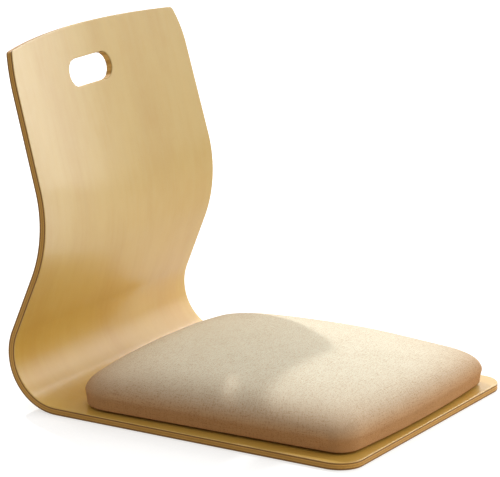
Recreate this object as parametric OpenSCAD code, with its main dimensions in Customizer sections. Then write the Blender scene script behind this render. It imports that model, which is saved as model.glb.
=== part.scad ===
// Floor chair without legs: a one-piece bent plywood seat and back with a hand slot,
// and a foam seat pad that lifts off. Millimetres, front towards -Y, standing on z = 0.

/* [Shell] */
// Width across the front edge of the seat
seat_front_w = 392; // [350:1:440]
// Width where the seat starts to bend upwards
bend_w = 384; // [340:1:430]
// Width across the top of the back
top_w = 365; // [320:1:410]
// Flat length of the seat, from its front edge to the bend
seat_run = 398; // [350:1:440]
// Radius of the bend behind the seat, on the outer face
bend_r = 68; // [55:1:90]
// Angle that the bend turns through
bend_angle = 112; // [104:1:118]
// Straight rise between the bend and the lumbar curve
neck_run = 73; // [50:1:95]
// Radius of the lumbar curve, on the outer face
lumbar_r = 161; // [120:1:200]
// Angle that the lumbar curve leans the back again
lumbar_angle = 38; // [30:1:44]
// Straight length of the back above the lumbar curve, at its sides
back_run = 163; // [145:1:200]
// How far the middle of the back lies behind its side edges
back_hollow = 23; // [10:1:35]
// Rise of the top edge in the middle
top_crown = 11; // [2:1:14]
// Corner radius at the front of the seat
front_corner_r = 31; // [14:1:45]
// Radius of the curve that draws each side of the back in below the top edge
top_corner_r = 130; // [90:1:170]
// How far that curve has drawn the side in where it meets the top edge
top_corner_cut = 9; // [4:1:14]

/* [Plies] */
// Thickness of each face veneer
face_t = 0.8; // [0.6:0.1:1.2]
// Thickness of each core ply
core_t = 1.4; // [1.1:0.1:1.9]
// Glue line between two plies
glue_line = 0.1; // [0.05:0.05:0.2]

/* [Hand slot] */
// Length of the hand slot across the back
slot_w = 90; // [70:1:110]
// Height of the hand slot along the back
slot_h = 34; // [26:1:42]
// Distance from the top of the side edges down to the middle of the slot
slot_drop = 46; // [40:1:70]

/* [Seat pad] */
// Bare shell in front of the middle of the pad
front_margin = 8; // [5:1:30]
// How far the pad's front edge curves back from its middle to its corners
front_bow = 9; // [3:1:16]
// Bare shell between the pad and the start of the bend
rear_margin = 18; // [8:1:40]
// Bare shell beside the pad at its front
front_side_margin = 23; // [12:1:40]
// Bare shell beside the pad at its rear
rear_side_margin = 13; // [5:1:30]
// Radius of the pad's front corners in plan
pad_front_corner_r = 24; // [20:1:45]
// Radius of the pad's rear corners in plan
pad_rear_corner_r = 41; // [24:1:60]
// Height of the upright lower part of the pad's side
side_h = 17; // [12:1:24]
// Rise of the pad's middle above that upright part
pad_rise = 47; // [38:1:58]
// How far the top falls from its middle to its left and right edges
crown_across = 21; // [8:1:26]
// How far the top falls from its middle to its front and rear edges
crown_along = 17; // [4:1:22]
// How far the sides swell beyond the drawn-in lower edge
side_swell = 1.5; // [1:0.5:5]
// Thickness of the cover fabric
cover_t = 1; // [0.8:0.1:1.6]
// Width of the hem that is turned under the board
hem_w = 24; // [16:1:34]
// Thickness of the board in the pad
board_t = 5; // [5:0.5:9]

/* [Pad underside] */
// Thickness of the cloth under the pad
under_cloth_t = 0.4; // [0.3:0.1:0.8]
// Distance from the pad's edge to the edge of that cloth
under_cloth_inset = 10; // [5:1:14]
// Thickness of the hook strips stuck on the seat
hook_t = 0.8; // [0.6:0.1:1.5]
// Thickness of the loop strips under the pad
loop_t = 0.8; // [0.6:0.1:1.5]
// Length of each strip
strip_len = 90; // [60:1:120]
// Width of each strip
strip_w = 25; // [16:1:40]
// Distance from the pad's edge to the middle of a strip
strip_inset = 58; // [50:1:80]
// Running clearance between the hook strips and the loop strips
rest_gap = 0.3; // [0.2:0.1:0.4]

/* [Staples] */
// Width of a staple over its legs
staple_w = 10; // [8:1:13]
// Thickness of the staple wire
staple_wire = 0.5; // [0.4:0.1:0.7]
// Length of the legs of the staples that hold the cover
cover_leg_len = 4.5; // [4:0.5:5.5]
// Length of the legs of the staples that hold the cloth
cloth_leg_len = 6; // [5:0.5:6.5]
// Distance from the pad's edge to the staples that hold the cover
cover_staple_inset = 17; // [15:0.5:18]
// Distance from the cloth's edge to the staples that hold the cloth
cloth_staple_inset = 3; // [2:0.5:4]
// Spacing of the staples that hold the cover, rounded to fit each side evenly
cover_staple_pitch = 40; // [30:1:60]
// Spacing of the staples that hold the cloth, rounded to fit each side evenly
cloth_staple_pitch = 50; // [35:1:70]

/* [Hidden] */

// Clearance between the flat layers of the pad
slip = 0.05;
// Clearance between the foam and the cover around it
foam_slip = 0.2;
// Overrun of a cutting tool beyond each face
overrun = 6;
// Least corner radius that is left on the inner edge of the hem
least_hem_r = 2;

// Numbers of steps in the faceted forms
corner_steps = 5;
seat_steps = 2;
bend_steps = 14;
neck_steps = 4;
lumbar_steps = 6;
back_steps = 2;
cross_steps = 12;
pad_corner_steps = 5;
pad_side_steps = 5;
pad_wall_steps = 3;

core_plies = 5;

// Fullness of the pad's shoulder: a higher power gives a tighter one
fullness_power = 12;
// Angles at which the shoulder has a ring, and the rings of the top as shares of the pad's size
shoulder_angles = [78, 64, 50, 37, 25, 15];
top_ring_shares = [0.66, 0.44, 0.22];

// Arc lengths along the outer face, from the front edge, at which the side profile changes
s_bend = seat_run;
s_neck = s_bend + arc_length(bend_r, bend_angle);
s_lumbar = s_neck + neck_run;
s_back = s_lumbar + arc_length(lumbar_r, lumbar_angle);
s_top = s_back + back_run;
s_slot = s_top - slot_drop;

// Heading of the back above the lumbar curve, from the horizontal
back_heading = bend_angle - lumbar_angle;

// Angle that the curve at each top corner turns through
top_corner_turn = acos(1 - top_corner_cut / top_corner_r);

// Points [y, z] of the side profile at the same places
p_bend = [seat_run, 0];
p_neck = p_bend + bend_r * [sin(bend_angle), 1 - cos(bend_angle)];
p_lumbar = p_neck + neck_run * along(bend_angle);
p_back = p_lumbar + lumbar_r * [
    sin(bend_angle) - sin(back_heading),
    cos(back_heading) - cos(bend_angle)
];
p_top = p_back + back_run * along(back_heading);

// Overall depth, which puts the origin under the middle of the chair
top_centre = p_top + top_crown * along(back_heading) - back_hollow * across(back_heading);
depth = max(top_centre[0], seat_run + bend_r);
y_front = -depth / 2;

shell_t = 2 * face_t + core_plies * core_t + (core_plies + 1) * glue_line;

// Heights of the layers of the pad, from its loop strips upwards
strip_z = shell_t;
loop_z = strip_z + hook_t + rest_gap;
cloth_z = loop_z + loop_t;
hem_z = cloth_z + under_cloth_t + staple_wire + 2 * slip;
board_z = hem_z + cover_t + slip;
foam_z = board_z + board_t + slip;
side_top_z = hem_z + side_h;

// Plan of the pad
pad_y0 = y_front + front_margin;
pad_l = seat_run - front_margin - rear_margin;
pad_front_half = half_width(front_margin) - front_side_margin;
pad_rear_half = half_width(seat_run - rear_margin) - rear_side_margin;
pad_centre = [0, pad_y0 + pad_l / 2];
pad_side_turn = atan((pad_rear_half - pad_front_half) / pad_l);

// Rows of the shell: [arc length, how far a rounded corner draws the side in]
shell_rows = concat(
    [for (i = [0:corner_steps]) let (a = 90 * i / corner_steps)
        front_corner_r * [1 - cos(a), 1 - sin(a)]],
    even_rows(front_corner_r, s_bend, seat_steps),
    even_rows(s_bend, s_neck, bend_steps),
    even_rows(s_neck, s_lumbar, neck_steps),
    even_rows(s_lumbar, s_back, lumbar_steps),
    even_rows(s_back, s_top - top_corner_r * sin(top_corner_turn), back_steps),
    [for (i = [1:corner_steps]) let (a = top_corner_turn * i / corner_steps)
        [s_top - top_corner_r * (sin(top_corner_turn) - sin(a)), top_corner_r * (1 - cos(a))]]
);

function arc_length(r, angle) = PI * r * angle / 180;
function along(heading) = [cos(heading), sin(heading)];
function across(heading) = [-sin(heading), cos(heading)];
function mix(a, b, t) = a + (b - a) * t;
function clamp_share(t) = max(0, min(1, t));
function smooth_share(t) = let (c = clamp_share(t)) c * c * (3 - 2 * c);
function even_rows(from, to, steps) = [for (i = [1:steps]) [mix(from, to, i / steps), 0]];

// Heading of the side profile at arc length s
function heading_at(s) =
    s < s_bend ? 0 :
    s < s_neck ? bend_angle * (s - s_bend) / (s_neck - s_bend) :
    s < s_lumbar ? bend_angle :
    s < s_back ? bend_angle - lumbar_angle * (s - s_lumbar) / (s_back - s_lumbar) :
    back_heading;

// Point [y, z] of the outer face's side profile at arc length s
function profile_at(s) = let (h = heading_at(s))
    s < s_bend ? [s, 0] :
    s < s_neck ? p_bend + bend_r * [sin(h), 1 - cos(h)] :
    s < s_lumbar ? p_neck + (s - s_neck) * along(h) :
    s < s_back ? p_lumbar + lumbar_r * [sin(bend_angle) - sin(h), cos(h) - cos(bend_angle)] :
    p_back + (s - s_back) * along(h);

// Half of the shell's width at arc length s, before its corners are rounded
function half_width(s) =
    s < s_bend ? mix(seat_front_w, bend_w, s / s_bend) / 2 :
    mix(bend_w, top_w, (s - s_bend) / (s_top - s_bend)) / 2;

// Depth of the hollow in the middle of the shell at arc length s
function hollow_at(s) = back_hollow * smooth_share((s - s_neck) / (s_back - s_neck));

// Rise of the top edge's crown, which starts above the lumbar curve
function crown_at(s) = top_crown * clamp_share((s - s_back) / (s_top - s_back));

// Point of the shell on a row, at a share of the width from -1 to 1, off from the outer face
function shell_point(row, side_share, off) = let (
    x = side_share * (half_width(row[0]) - row[1]),
    bow = 1 - pow(x / half_width(row[0]), 2),
    s = row[0] + crown_at(row[0]) * bow,
    p = profile_at(s) + (off - hollow_at(s) * bow) * across(heading_at(s))
) [x, y_front + p[0], p[1]];

// Distance of the lower face of core ply n, counted from 1, from the outer face
function core_base(n) = face_t + glue_line + (n - 1) * (core_t + glue_line);

// A sheet of the shell between two distances from its outer face
module shell_sheet(low, high) {
    cols = cross_steps + 1;
    count = len(shell_rows);
    last = count - 1;
    points = [for (off = [low, high], row = shell_rows, j = [0:cross_steps])
        shell_point(row, 2 * j / cross_steps - 1, off)];
    function under(i, j) = i * cols + j;
    function over(i, j) = (count + i) * cols + j;
    faces = concat(
        [for (i = [0:last - 1], j = [0:cross_steps - 1]) each [
            [over(i, j), over(i + 1, j), over(i + 1, j + 1)],
            [over(i, j), over(i + 1, j + 1), over(i, j + 1)],
            [under(i, j), under(i + 1, j + 1), under(i + 1, j)],
            [under(i, j), under(i, j + 1), under(i + 1, j + 1)]
        ]],
        [for (i = [0:last - 1]) each [
            [under(i, 0), under(i + 1, 0), over(i + 1, 0)],
            [under(i, 0), over(i + 1, 0), over(i, 0)],
            [under(i, cross_steps), over(i + 1, cross_steps), under(i + 1, cross_steps)],
            [under(i, cross_steps), over(i, cross_steps), over(i + 1, cross_steps)]
        ]],
        [for (j = [0:cross_steps - 1]) each [
            [under(0, j), over(0, j), over(0, j + 1)],
            [under(0, j), over(0, j + 1), under(0, j + 1)],
            [under(last, j), over(last, j + 1), over(last, j)],
            [under(last, j), under(last, j + 1), over(last, j + 1)]
        ]]
    );
    difference() {
        polyhedron(points, faces);
        slot_cutter();
    }
}

// Cutter for the hand slot, square to the hollow of the back
module slot_cutter() {
    h = heading_at(s_slot);
    middle = profile_at(s_slot) + (shell_t / 2 - hollow_at(s_slot)) * across(h);
    translate([0, y_front + middle[0], middle[1]])
        rotate([h, 0, 0])
            linear_extrude(height = shell_t + 2 * overrun, center = true)
                slot_outline();
}

module slot_outline() {
    end_x = (slot_w - slot_h) / 2;
    square([2 * end_x, slot_h], center = true);
    for (side = [-1, 1])
        translate([side * end_x, 0])
            circle(d = slot_h, $fn = 48);
}

// One of the core plies, counted from the outer face
module core_ply(n) {
    shell_sheet(core_base(n), core_base(n) + core_t);
}

// Plan outline of the pad, drawn in from its lower edge, anticlockwise from above
function pad_outline(inset) = let (
    r0 = max(pad_front_corner_r, inset + least_hem_r),
    r1 = max(pad_rear_corner_r, inset + least_hem_r),
    front = pad_front_half - r0,
    rear = pad_rear_half - r1,
    y0 = pad_y0 + r0,
    y1 = pad_y0 + pad_l - r1,
    corners = [[front, y0, r0, -90], [rear, y1, r1, 0], [-rear, y1, r1, 90], [-front, y0, r0, 180]],
    arcs = [for (c = corners) [for (i = [0:pad_corner_steps])
        let (a = c[3] + 90 * i / pad_corner_steps) [c[0], c[1]] + (c[2] - inset) * [cos(a), sin(a)]]]
) [for (k = [0:3]) each [for (p = concat(
    arcs[k],
    [for (i = [1:pad_side_steps])
        mix(arcs[k][pad_corner_steps], arcs[(k + 1) % 4][0], i / (pad_side_steps + 1))]
)) bowed(p)]];

// A point [x, y] of the pad's plan, moved back by the curve of the front edge. The curve fades
// out at the middle of the pad
function bowed(p) = [p[0], p[1] + front_bow * pow(p[0] / pad_front_half, 2)
    * clamp_share(2 * (pad_centre[1] - p[1]) / pad_l)];

// A level ring of the pad: its outline drawn in, at height z
function pad_ring(inset, z) = [for (p = pad_outline(inset)) [p[0], p[1], z]];

// Rise of the pad's domed top over a point [x, y] of its plan
function top_rise(p) = let (
    half = mix(pad_front_half, pad_rear_half, (p[1] - pad_y0) / pad_l),
    u = p[0] / half,
    v = 2 * (p[1] - pad_centre[1]) / pad_l
) (pad_rise - crown_across * u * u) * (pad_rise - crown_along * v * v) / pad_rise;

// A ring of the top: the outline shrunk to a share, with the shoulder's rise at that share and
// lowered by the layers outside it
function top_ring(inset, size_share, drop) = [for (p = pad_outline(inset))
    let (q = mix(pad_centre, p, size_share))
    [q[0], q[1], side_top_z
        + (top_rise(q) - drop) * sqrt(1 - pow(size_share, fullness_power))]];

// Rings of a pad form from height low to the last ring of its top
function pad_rings(inset, low, drop) = concat(
    [for (k = [0:pad_wall_steps]) let (t = k / pad_wall_steps)
        pad_ring(inset - side_swell * sin(90 * t), mix(low, side_top_z, t))],
    [for (a = shoulder_angles) top_ring(inset - side_swell, pow(sin(a), 2 / fullness_power), drop)],
    [for (size_share = top_ring_shares) top_ring(inset - side_swell, size_share, drop)]
);

function pad_apex(drop) = [pad_centre[0], pad_centre[1], side_top_z + pad_rise - drop];
function reversed(list) = [for (i = [len(list) - 1:-1:0]) list[i]];

// A closed skin through rings of equal count, with a point at each end. Its quads are split
// along one diagonal or, crossed, along the other
module lofted(start, rings, end, crossed = false) {
    around = len(rings[0]);
    last = len(rings) - 1;
    first_point = 0;
    last_point = 1 + (last + 1) * around;
    points = concat([start], [for (ring = rings) each ring], [end]);
    function at(k, j) = 1 + k * around + j % around;
    faces = concat(
        [for (j = [0:around - 1]) [first_point, at(0, j), at(0, j + 1)]],
        [for (k = [0:last - 1], j = [0:around - 1]) each crossed ? [
            [at(k, j), at(k + 1, j), at(k, j + 1)],
            [at(k + 1, j), at(k + 1, j + 1), at(k, j + 1)]
        ] : [
            [at(k, j), at(k + 1, j), at(k + 1, j + 1)],
            [at(k, j), at(k + 1, j + 1), at(k, j + 1)]
        ]],
        [for (j = [0:around - 1]) [last_point, at(last, j + 1), at(last, j)]]
    );
    polyhedron(points, faces);
}

// Flat layer of the pad with the pad's outline
module pad_layer(inset, z, thickness) {
    translate([0, 0, z])
        linear_extrude(height = thickness)
            polygon(pad_outline(inset));
}

// The staples stand in a row along each side, at an inset from the pad's edge
module staple_rows(inset, z, leg, pitch) {
    side_x = mix(pad_front_half, pad_rear_half, 0.5) - inset;
    corner_r = max(pad_front_corner_r, pad_rear_corner_r);
    reach = pad_l - 2 * (corner_r + inset);
    front_reach = 2 * (pad_front_half - corner_r - inset);
    rear_reach = 2 * (pad_rear_half - corner_r - inset);
    spaces = max(1, round(reach / pitch));
    for (i = [0:spaces]) {
        place_share = i / spaces - 1 / 2;
        for (side = [-1, 1])
            translate([pad_centre[0], pad_centre[1], z])
                translate([side * side_x, 0, 0])
                    rotate([0, 0, -side * pad_side_turn])
                        translate([0, place_share * reach, 0])
                            rotate([0, 0, 90])
                                staple(leg);
        front_place = bowed([place_share * front_reach, pad_y0 + inset]);
        translate([front_place[0], front_place[1], z])
            staple(leg);
        translate([place_share * rear_reach, pad_y0 + pad_l - inset, z])
            staple(leg);
    }
}

// One staple: its crown lies below z = 0 and its legs stand up from it
module staple(leg) {
    leg_x = (staple_w - staple_wire) / 2;
    translate([0, 0, -staple_wire / 2])
        cube([staple_w, staple_wire, staple_wire], center = true);
    for (side = [-1, 1])
        translate([side * leg_x, 0, (leg - staple_wire) / 2])
            cube([staple_wire, staple_wire, leg + staple_wire], center = true);
}

// The four strips of a fastener, two across the front of the pad and two across its rear
module strips(z, thickness) {
    for (side = [-1, 1]) {
        translate([side * (pad_front_half - strip_inset - strip_w / 2), pad_y0 + strip_inset, z])
            strip(thickness);
        translate([side * (pad_rear_half - strip_inset - strip_w / 2), pad_y0 + pad_l - strip_inset, z])
            strip(thickness);
    }
}

module strip(thickness) {
    translate([-strip_len / 2, -strip_w / 2, 0])
        cube([strip_len, strip_w, thickness]);
}

module outer_face_veneer() {
    color("#d9b777") shell_sheet(0, face_t);
}

module core_ply_1() {
    color("#a9814a") core_ply(1);
}

module core_ply_2() {
    color("#d2ab6c") core_ply(2);
}

module core_ply_3() {
    color("#a9814a") core_ply(3);
}

module core_ply_4() {
    color("#d2ab6c") core_ply(4);
}

module core_ply_5() {
    color("#a9814a") core_ply(5);
}

module inner_face_veneer() {
    color("#e3c48a") shell_sheet(core_base(core_plies + 1), shell_t);
}

module hook_strips() {
    color("#cdbfa6") strips(strip_z, hook_t);
}

module pad_board() {
    color("#c9a26a") pad_layer(cover_t + slip, board_z, board_t);
}

// The foam is split as the inside of the cover is, so that the two lie evenly apart
module foam_core() {
    inset = cover_t + foam_slip;
    color("#efe6cf") lofted(
        [pad_centre[0], pad_centre[1], foam_z],
        pad_rings(inset, foam_z, inset),
        pad_apex(inset),
        crossed = true
    );
}

module seat_cover() {
    inner = concat([pad_ring(hem_w, hem_z + cover_t)], pad_rings(cover_t, hem_z + cover_t, cover_t));
    outer = concat([pad_ring(hem_w, hem_z)], pad_rings(0, hem_z, 0));
    color("#cdb491") lofted(pad_apex(cover_t), concat(reversed(inner), outer), pad_apex(0));
}

module under_cloth() {
    color("#3b3835") pad_layer(under_cloth_inset, cloth_z, under_cloth_t);
}

module cover_staples() {
    color("#b9bcc0") staple_rows(
        cover_staple_inset, hem_z, cover_leg_len, cover_staple_pitch
    );
}

module cloth_staples() {
    color("#b9bcc0") staple_rows(
        under_cloth_inset + cloth_staple_inset, cloth_z, cloth_leg_len, cloth_staple_pitch
    );
}

module loop_strips() {
    color("#bfae92") strips(loop_z, loop_t);
}

outer_face_veneer();
core_ply_1();
core_ply_2();
core_ply_3();
core_ply_4();
core_ply_5();
inner_face_veneer();
hook_strips();
pad_board();
foam_core();
seat_cover();
under_cloth();
cover_staples();
cloth_staples();
loop_strips();
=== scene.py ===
"""Looks of a legless floor chair: a shell of bent plywood and a seat pad in woven cloth.

Sizes are in metres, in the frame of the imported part: +X to the right as seen from the front,
+Y from the front edge towards the back, +Z up, with the origin on the floor.
"""

import logging
import math
from collections.abc import Mapping, Sequence
from dataclasses import dataclass
from enum import Enum

import bpy
import numpy as np
from mathutils import Matrix, Vector
from mathutils.geometry import delaunay_2d_cdt


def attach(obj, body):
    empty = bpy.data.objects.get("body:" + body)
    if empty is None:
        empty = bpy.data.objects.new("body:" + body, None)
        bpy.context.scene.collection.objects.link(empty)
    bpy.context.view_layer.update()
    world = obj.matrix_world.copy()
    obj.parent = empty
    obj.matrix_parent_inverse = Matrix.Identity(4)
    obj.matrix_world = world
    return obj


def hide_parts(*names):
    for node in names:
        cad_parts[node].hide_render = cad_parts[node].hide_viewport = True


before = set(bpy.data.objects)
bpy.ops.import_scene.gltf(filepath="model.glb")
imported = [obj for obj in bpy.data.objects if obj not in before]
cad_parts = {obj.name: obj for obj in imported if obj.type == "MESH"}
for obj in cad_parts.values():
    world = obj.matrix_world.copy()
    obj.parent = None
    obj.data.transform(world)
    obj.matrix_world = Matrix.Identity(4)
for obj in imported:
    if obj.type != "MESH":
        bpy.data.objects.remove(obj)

log = logging.getLogger("floor_chair")

Colour = tuple[float, float, float]
FLAT_PLACE = "flat_place"  # where a point of a ply lay in the flat blank: across, along, through
CLOTH_PLACE = "cloth_place"  # where a point of the cover lies on the unrolled cloth


# Shader arithmetic


class Signal:
    """A number socket that takes part in Python arithmetic by adding Math nodes."""

    def __init__(self, tree: "FinishTree", socket: bpy.types.NodeSocket) -> None:
        """Wraps a socket.

        Args:
            tree: The finish whose nodes the arithmetic adds to.
            socket: The output socket that carries the number.
        """
        self.tree = tree
        self.socket = socket

    def _math(self, operation: str, *values: "Signal | float") -> "Signal":
        """Adds one Math node.

        Args:
            operation: The Math node's operation.
            values: Its inputs, in order.

        Returns:
            The node's result.
        """
        node = self.tree.node("ShaderNodeMath", {"operation": operation}, dict(enumerate(values)))
        return Signal(self.tree, node.outputs[0])

    def __add__(self, other: "Signal | float") -> "Signal":
        """Returns the sum."""
        return self._math("ADD", self, other)

    def __radd__(self, other: float) -> "Signal":
        """Returns the sum, for a number on the left."""
        return self._math("ADD", other, self)

    def __sub__(self, other: "Signal | float") -> "Signal":
        """Returns the difference."""
        return self._math("SUBTRACT", self, other)

    def __rsub__(self, other: float) -> "Signal":
        """Returns the difference, for a number on the left."""
        return self._math("SUBTRACT", other, self)

    def __mul__(self, other: "Signal | float") -> "Signal":
        """Returns the product."""
        return self._math("MULTIPLY", self, other)

    def __rmul__(self, other: float) -> "Signal":
        """Returns the product, for a number on the left."""
        return self._math("MULTIPLY", other, self)

    def __pow__(self, other: "Signal | float") -> "Signal":
        """Returns the power."""
        return self._math("POWER", self, other)

    def sine(self) -> "Signal":
        """Returns the sine of an angle in radians."""
        return self._math("SINE", self)

    def size(self) -> "Signal":
        """Returns the value without its sign."""
        return self._math("ABSOLUTE", self)

    def most(self, other: "Signal") -> "Signal":
        """Returns the larger of two values."""
        return self._math("MAXIMUM", self, other)

    def between(self, low: float, high: float) -> "Signal":
        """Returns a smooth step from 0 at low to 1 at high."""
        node = self.tree.node(
            "ShaderNodeMapRange",
            {"interpolation_type": "SMOOTHSTEP"},
            {"Value": self, "From Min": low, "From Max": high},
        )
        return Signal(self.tree, node.outputs["Result"])


class FinishTree:
    """The node tree of one finish or of the sky, with the few methods that add nodes to it."""

    def __init__(self, owner: bpy.types.Material | bpy.types.World) -> None:
        """Empties a node tree.

        Args:
            owner: The material or world that it belongs to.
        """
        self.owner = owner
        owner.use_nodes = True
        self.tree = owner.node_tree
        self.tree.nodes.clear()

    @classmethod
    def of(cls, name: str) -> "FinishTree":
        """Returns the empty tree of a new material of that name."""
        return cls(bpy.data.materials.new(name))

    def node(
        self, kind: str, settings: Mapping[str, object], inputs: Mapping[str | int, object]
    ) -> bpy.types.Node:
        """Adds one node.

        Args:
            kind: The node's type.
            settings: Its own settings, which are set first.
            inputs: Values or links of its sockets, by name or by place.

        Returns:
            The node.
        """
        node = self.tree.nodes.new(kind)
        for name, value in settings.items():
            setattr(node, name, value)
        for key, value in inputs.items():
            socket = node.inputs[key]
            if isinstance(value, Signal):
                self.tree.links.new(value.socket, socket)
            elif isinstance(value, bpy.types.NodeSocket):
                self.tree.links.new(value, socket)
            else:
                socket.default_value = value
        return node

    def place(self, name: str) -> bpy.types.NodeSocket:
        """Returns the vector attribute of that name."""
        node = self.node("ShaderNodeAttribute", {"attribute_name": name}, {})
        return node.outputs["Vector"]

    def object_place(self) -> bpy.types.NodeSocket:
        """Returns the place on the object."""
        return self.node("ShaderNodeTexCoord", {}, {}).outputs["Object"]

    def seen(self) -> Signal:
        """Returns 1 for what the camera sees, also by reflection or through glass."""
        path = self.node("ShaderNodeLightPath", {}, {})
        kinds = ("Is Camera Ray", "Is Glossy Ray", "Is Transmission Ray")
        camera, glossy, through = (Signal(self, path.outputs[kind]) for kind in kinds)
        return camera.most(glossy).most(through)

    def parts(self, vector: bpy.types.NodeSocket) -> tuple[Signal, Signal, Signal]:
        """Returns the three numbers of a vector."""
        node = self.node("ShaderNodeSeparateXYZ", {}, {0: vector})
        return tuple(Signal(self, socket) for socket in node.outputs)

    def scaled(self, vector: bpy.types.NodeSocket, by: Colour) -> bpy.types.NodeSocket:
        """Returns a vector scaled by one factor along each axis."""
        node = self.node("ShaderNodeVectorMath", {"operation": "MULTIPLY"}, {0: vector, 1: by})
        return node.outputs[0]

    def moved(self, vector: bpy.types.NodeSocket, by: object) -> bpy.types.NodeSocket:
        """Returns the sum of two vectors."""
        node = self.node("ShaderNodeVectorMath", {"operation": "ADD"}, {0: vector, 1: by})
        return node.outputs[0]

    def noise(
        self,
        vector: bpy.types.NodeSocket,
        scale: float | Colour,
        detail: float = 2.0,
        rough: float = 0.5,
    ) -> Signal:
        """Adds a noise.

        Args:
            vector: Where it is read.
            scale: Patches per metre, the same every way or along each axis.
            detail: How many finer layers it has.
            rough: How strong the finer layers are.

        Returns:
            The noise, around 0.5.
        """
        if isinstance(scale, tuple):
            vector, scale = self.scaled(vector, scale), 1.0
        node = self.node(
            "ShaderNodeTexNoise",
            {},
            {"Vector": vector, "Scale": scale, "Detail": detail, "Roughness": rough},
        )
        return Signal(self, node.outputs[0])

    def mix(self, share: object, first: object, second: object) -> bpy.types.NodeSocket:
        """Mixes two colours.

        Args:
            share: The second colour's share.
            first: The first colour, as numbers or a socket.
            second: The second colour, as numbers or a socket.

        Returns:
            The mixed colour.
        """
        values = [(*c, 1.0) if isinstance(c, tuple) else c for c in (first, second)]
        node = self.node(
            "ShaderNodeMix",
            {"data_type": "RGBA", "clamp_factor": True},
            {0: share, 6: values[0], 7: values[1]},
        )
        return node.outputs[2]

    def shaded(self, colour: bpy.types.NodeSocket, factor: Signal) -> bpy.types.NodeSocket:
        """Returns a colour made darker or lighter by a factor."""
        node = self.node(
            "ShaderNodeVectorMath", {"operation": "SCALE"}, {0: colour, "Scale": factor}
        )
        return node.outputs[0]

    def bump(self, height: Signal, strength: float, depth: float) -> bpy.types.NodeSocket:
        """Adds a bump.

        Args:
            height: The height, around 0 to 1.
            strength: How much of it shows.
            depth: The height's depth in metres.

        Returns:
            The bumped normal.
        """
        node = self.node(
            "ShaderNodeBump", {}, {"Strength": strength, "Distance": depth, "Height": height}
        )
        return node.outputs[0]

    def finish(self, inputs: Mapping[str | int, object]) -> bpy.types.Material:
        """Closes the finish with its surface shader.

        Args:
            inputs: Values or links of the Principled shader's sockets.

        Returns:
            The material.
        """
        surface = self.node("ShaderNodeBsdfPrincipled", {}, inputs)
        self.node("ShaderNodeOutputMaterial", {}, {0: surface.outputs[0]})
        return self.owner


# Finishes


class Grain(Enum):
    """The direction of a ply's fibres."""

    ALONG = "along the shell"
    ACROSS = "across the shell"


@dataclass(frozen=True)
class VeneerFinish:
    """Pale face veneer under a satin lacquer, with its fibres along the shell."""

    name: str
    light: Colour = (0.575, 0.40, 0.128)
    deep: Colour = (0.50, 0.31, 0.076)
    fleck: Colour = (0.40, 0.22, 0.05)
    painted_warm_shade: Colour = (1.14, 1.04, 0.66)  # painted warm shade and bounce light: deeper golden tint of the inner face low down, which fades up the back
    painted_warm_shade_fade: tuple[float, float] = (0.46, 0.74)
    inner_from: float = 0.004  # distance from the outer face at which the painted warm shade starts
    cloud_scale: Colour = (14.0, 3.2, 0.0)  # patches per metre across, along and through
    drift_scale: Colour = (9.0, 1.6, 0.0)
    streak_scale: Colour = (230.0, 5.0, 0.0)
    fibre_scale: Colour = (1500.0, 34.0, 900.0)
    pore_scale: Colour = (2100.0, 150.0, 0.0)
    mottle_scale: Colour = (70.0, 42.0, 0.0)
    wear_scale: float = 38.0
    relief: tuple[float, float] = (0.22, 0.00012)  # how much of its bumps shows, and their depth
    ring_turn: float = 300.0  # growth rings, in radians per metre across
    ring_drift: float = 70.0
    gloss_weight: float = 0.45
    gloss_roughness: float = 0.22

    def material(self) -> bpy.types.Material:
        """Builds the finish.

        Returns:
            The material.
        """
        tree = FinishTree.of(self.name)
        flat = tree.place(FLAT_PLACE)
        clouds = tree.noise(flat, self.cloud_scale, 3.0)
        drift = tree.noise(flat, self.drift_scale)
        across, along, off = tree.parts(flat)
        turns = across * self.ring_turn + drift * self.ring_drift
        rings = (turns.sine() * 0.5 + 0.5) ** 2.0
        streaks = tree.noise(flat, self.streak_scale, 4.0, 0.6)
        fibres = tree.noise(flat, self.fibre_scale, 3.0, 0.6)
        pores = tree.noise(flat, self.pore_scale, 1.0).between(0.66, 0.76)
        mottle = tree.noise(flat, self.mottle_scale, 3.0, 0.6)
        tone = clouds * 0.6 + streaks * 0.16 + rings * 0.02 + fibres * 0.14 + mottle * 0.2
        colour = tree.mix(tone.between(0.36, 0.80), self.light, self.deep)
        colour = tree.mix(pores * 0.24, colour, self.fleck)
        colour = tree.shaded(colour, streaks * 0.07 + fibres * 0.09 + mottle * 0.06 + 0.89)
        # Painted warm shade and bounce light: the inner face low down is tinted deeper golden, fading
        # out up the back.
        low = (1.0 - along.between(*self.painted_warm_shade_fade)) * off.between(
            self.inner_from, self.inner_from * 2.0
        )
        colour = tree.mix(low, colour, tree.scaled(colour, self.painted_warm_shade))
        wear = tree.noise(flat, self.wear_scale, 3.0)
        height = fibres * 0.6 + streaks * 0.5 - pores * 0.5
        return tree.finish(
            {
                "Base Color": colour,
                "Roughness": streaks * 0.10 + wear * 0.12 + 0.34,
                "Coat Weight": self.gloss_weight,
                "Coat Roughness": self.gloss_roughness,
                "Normal": tree.bump(height, *self.relief),
            }
        )


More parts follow.
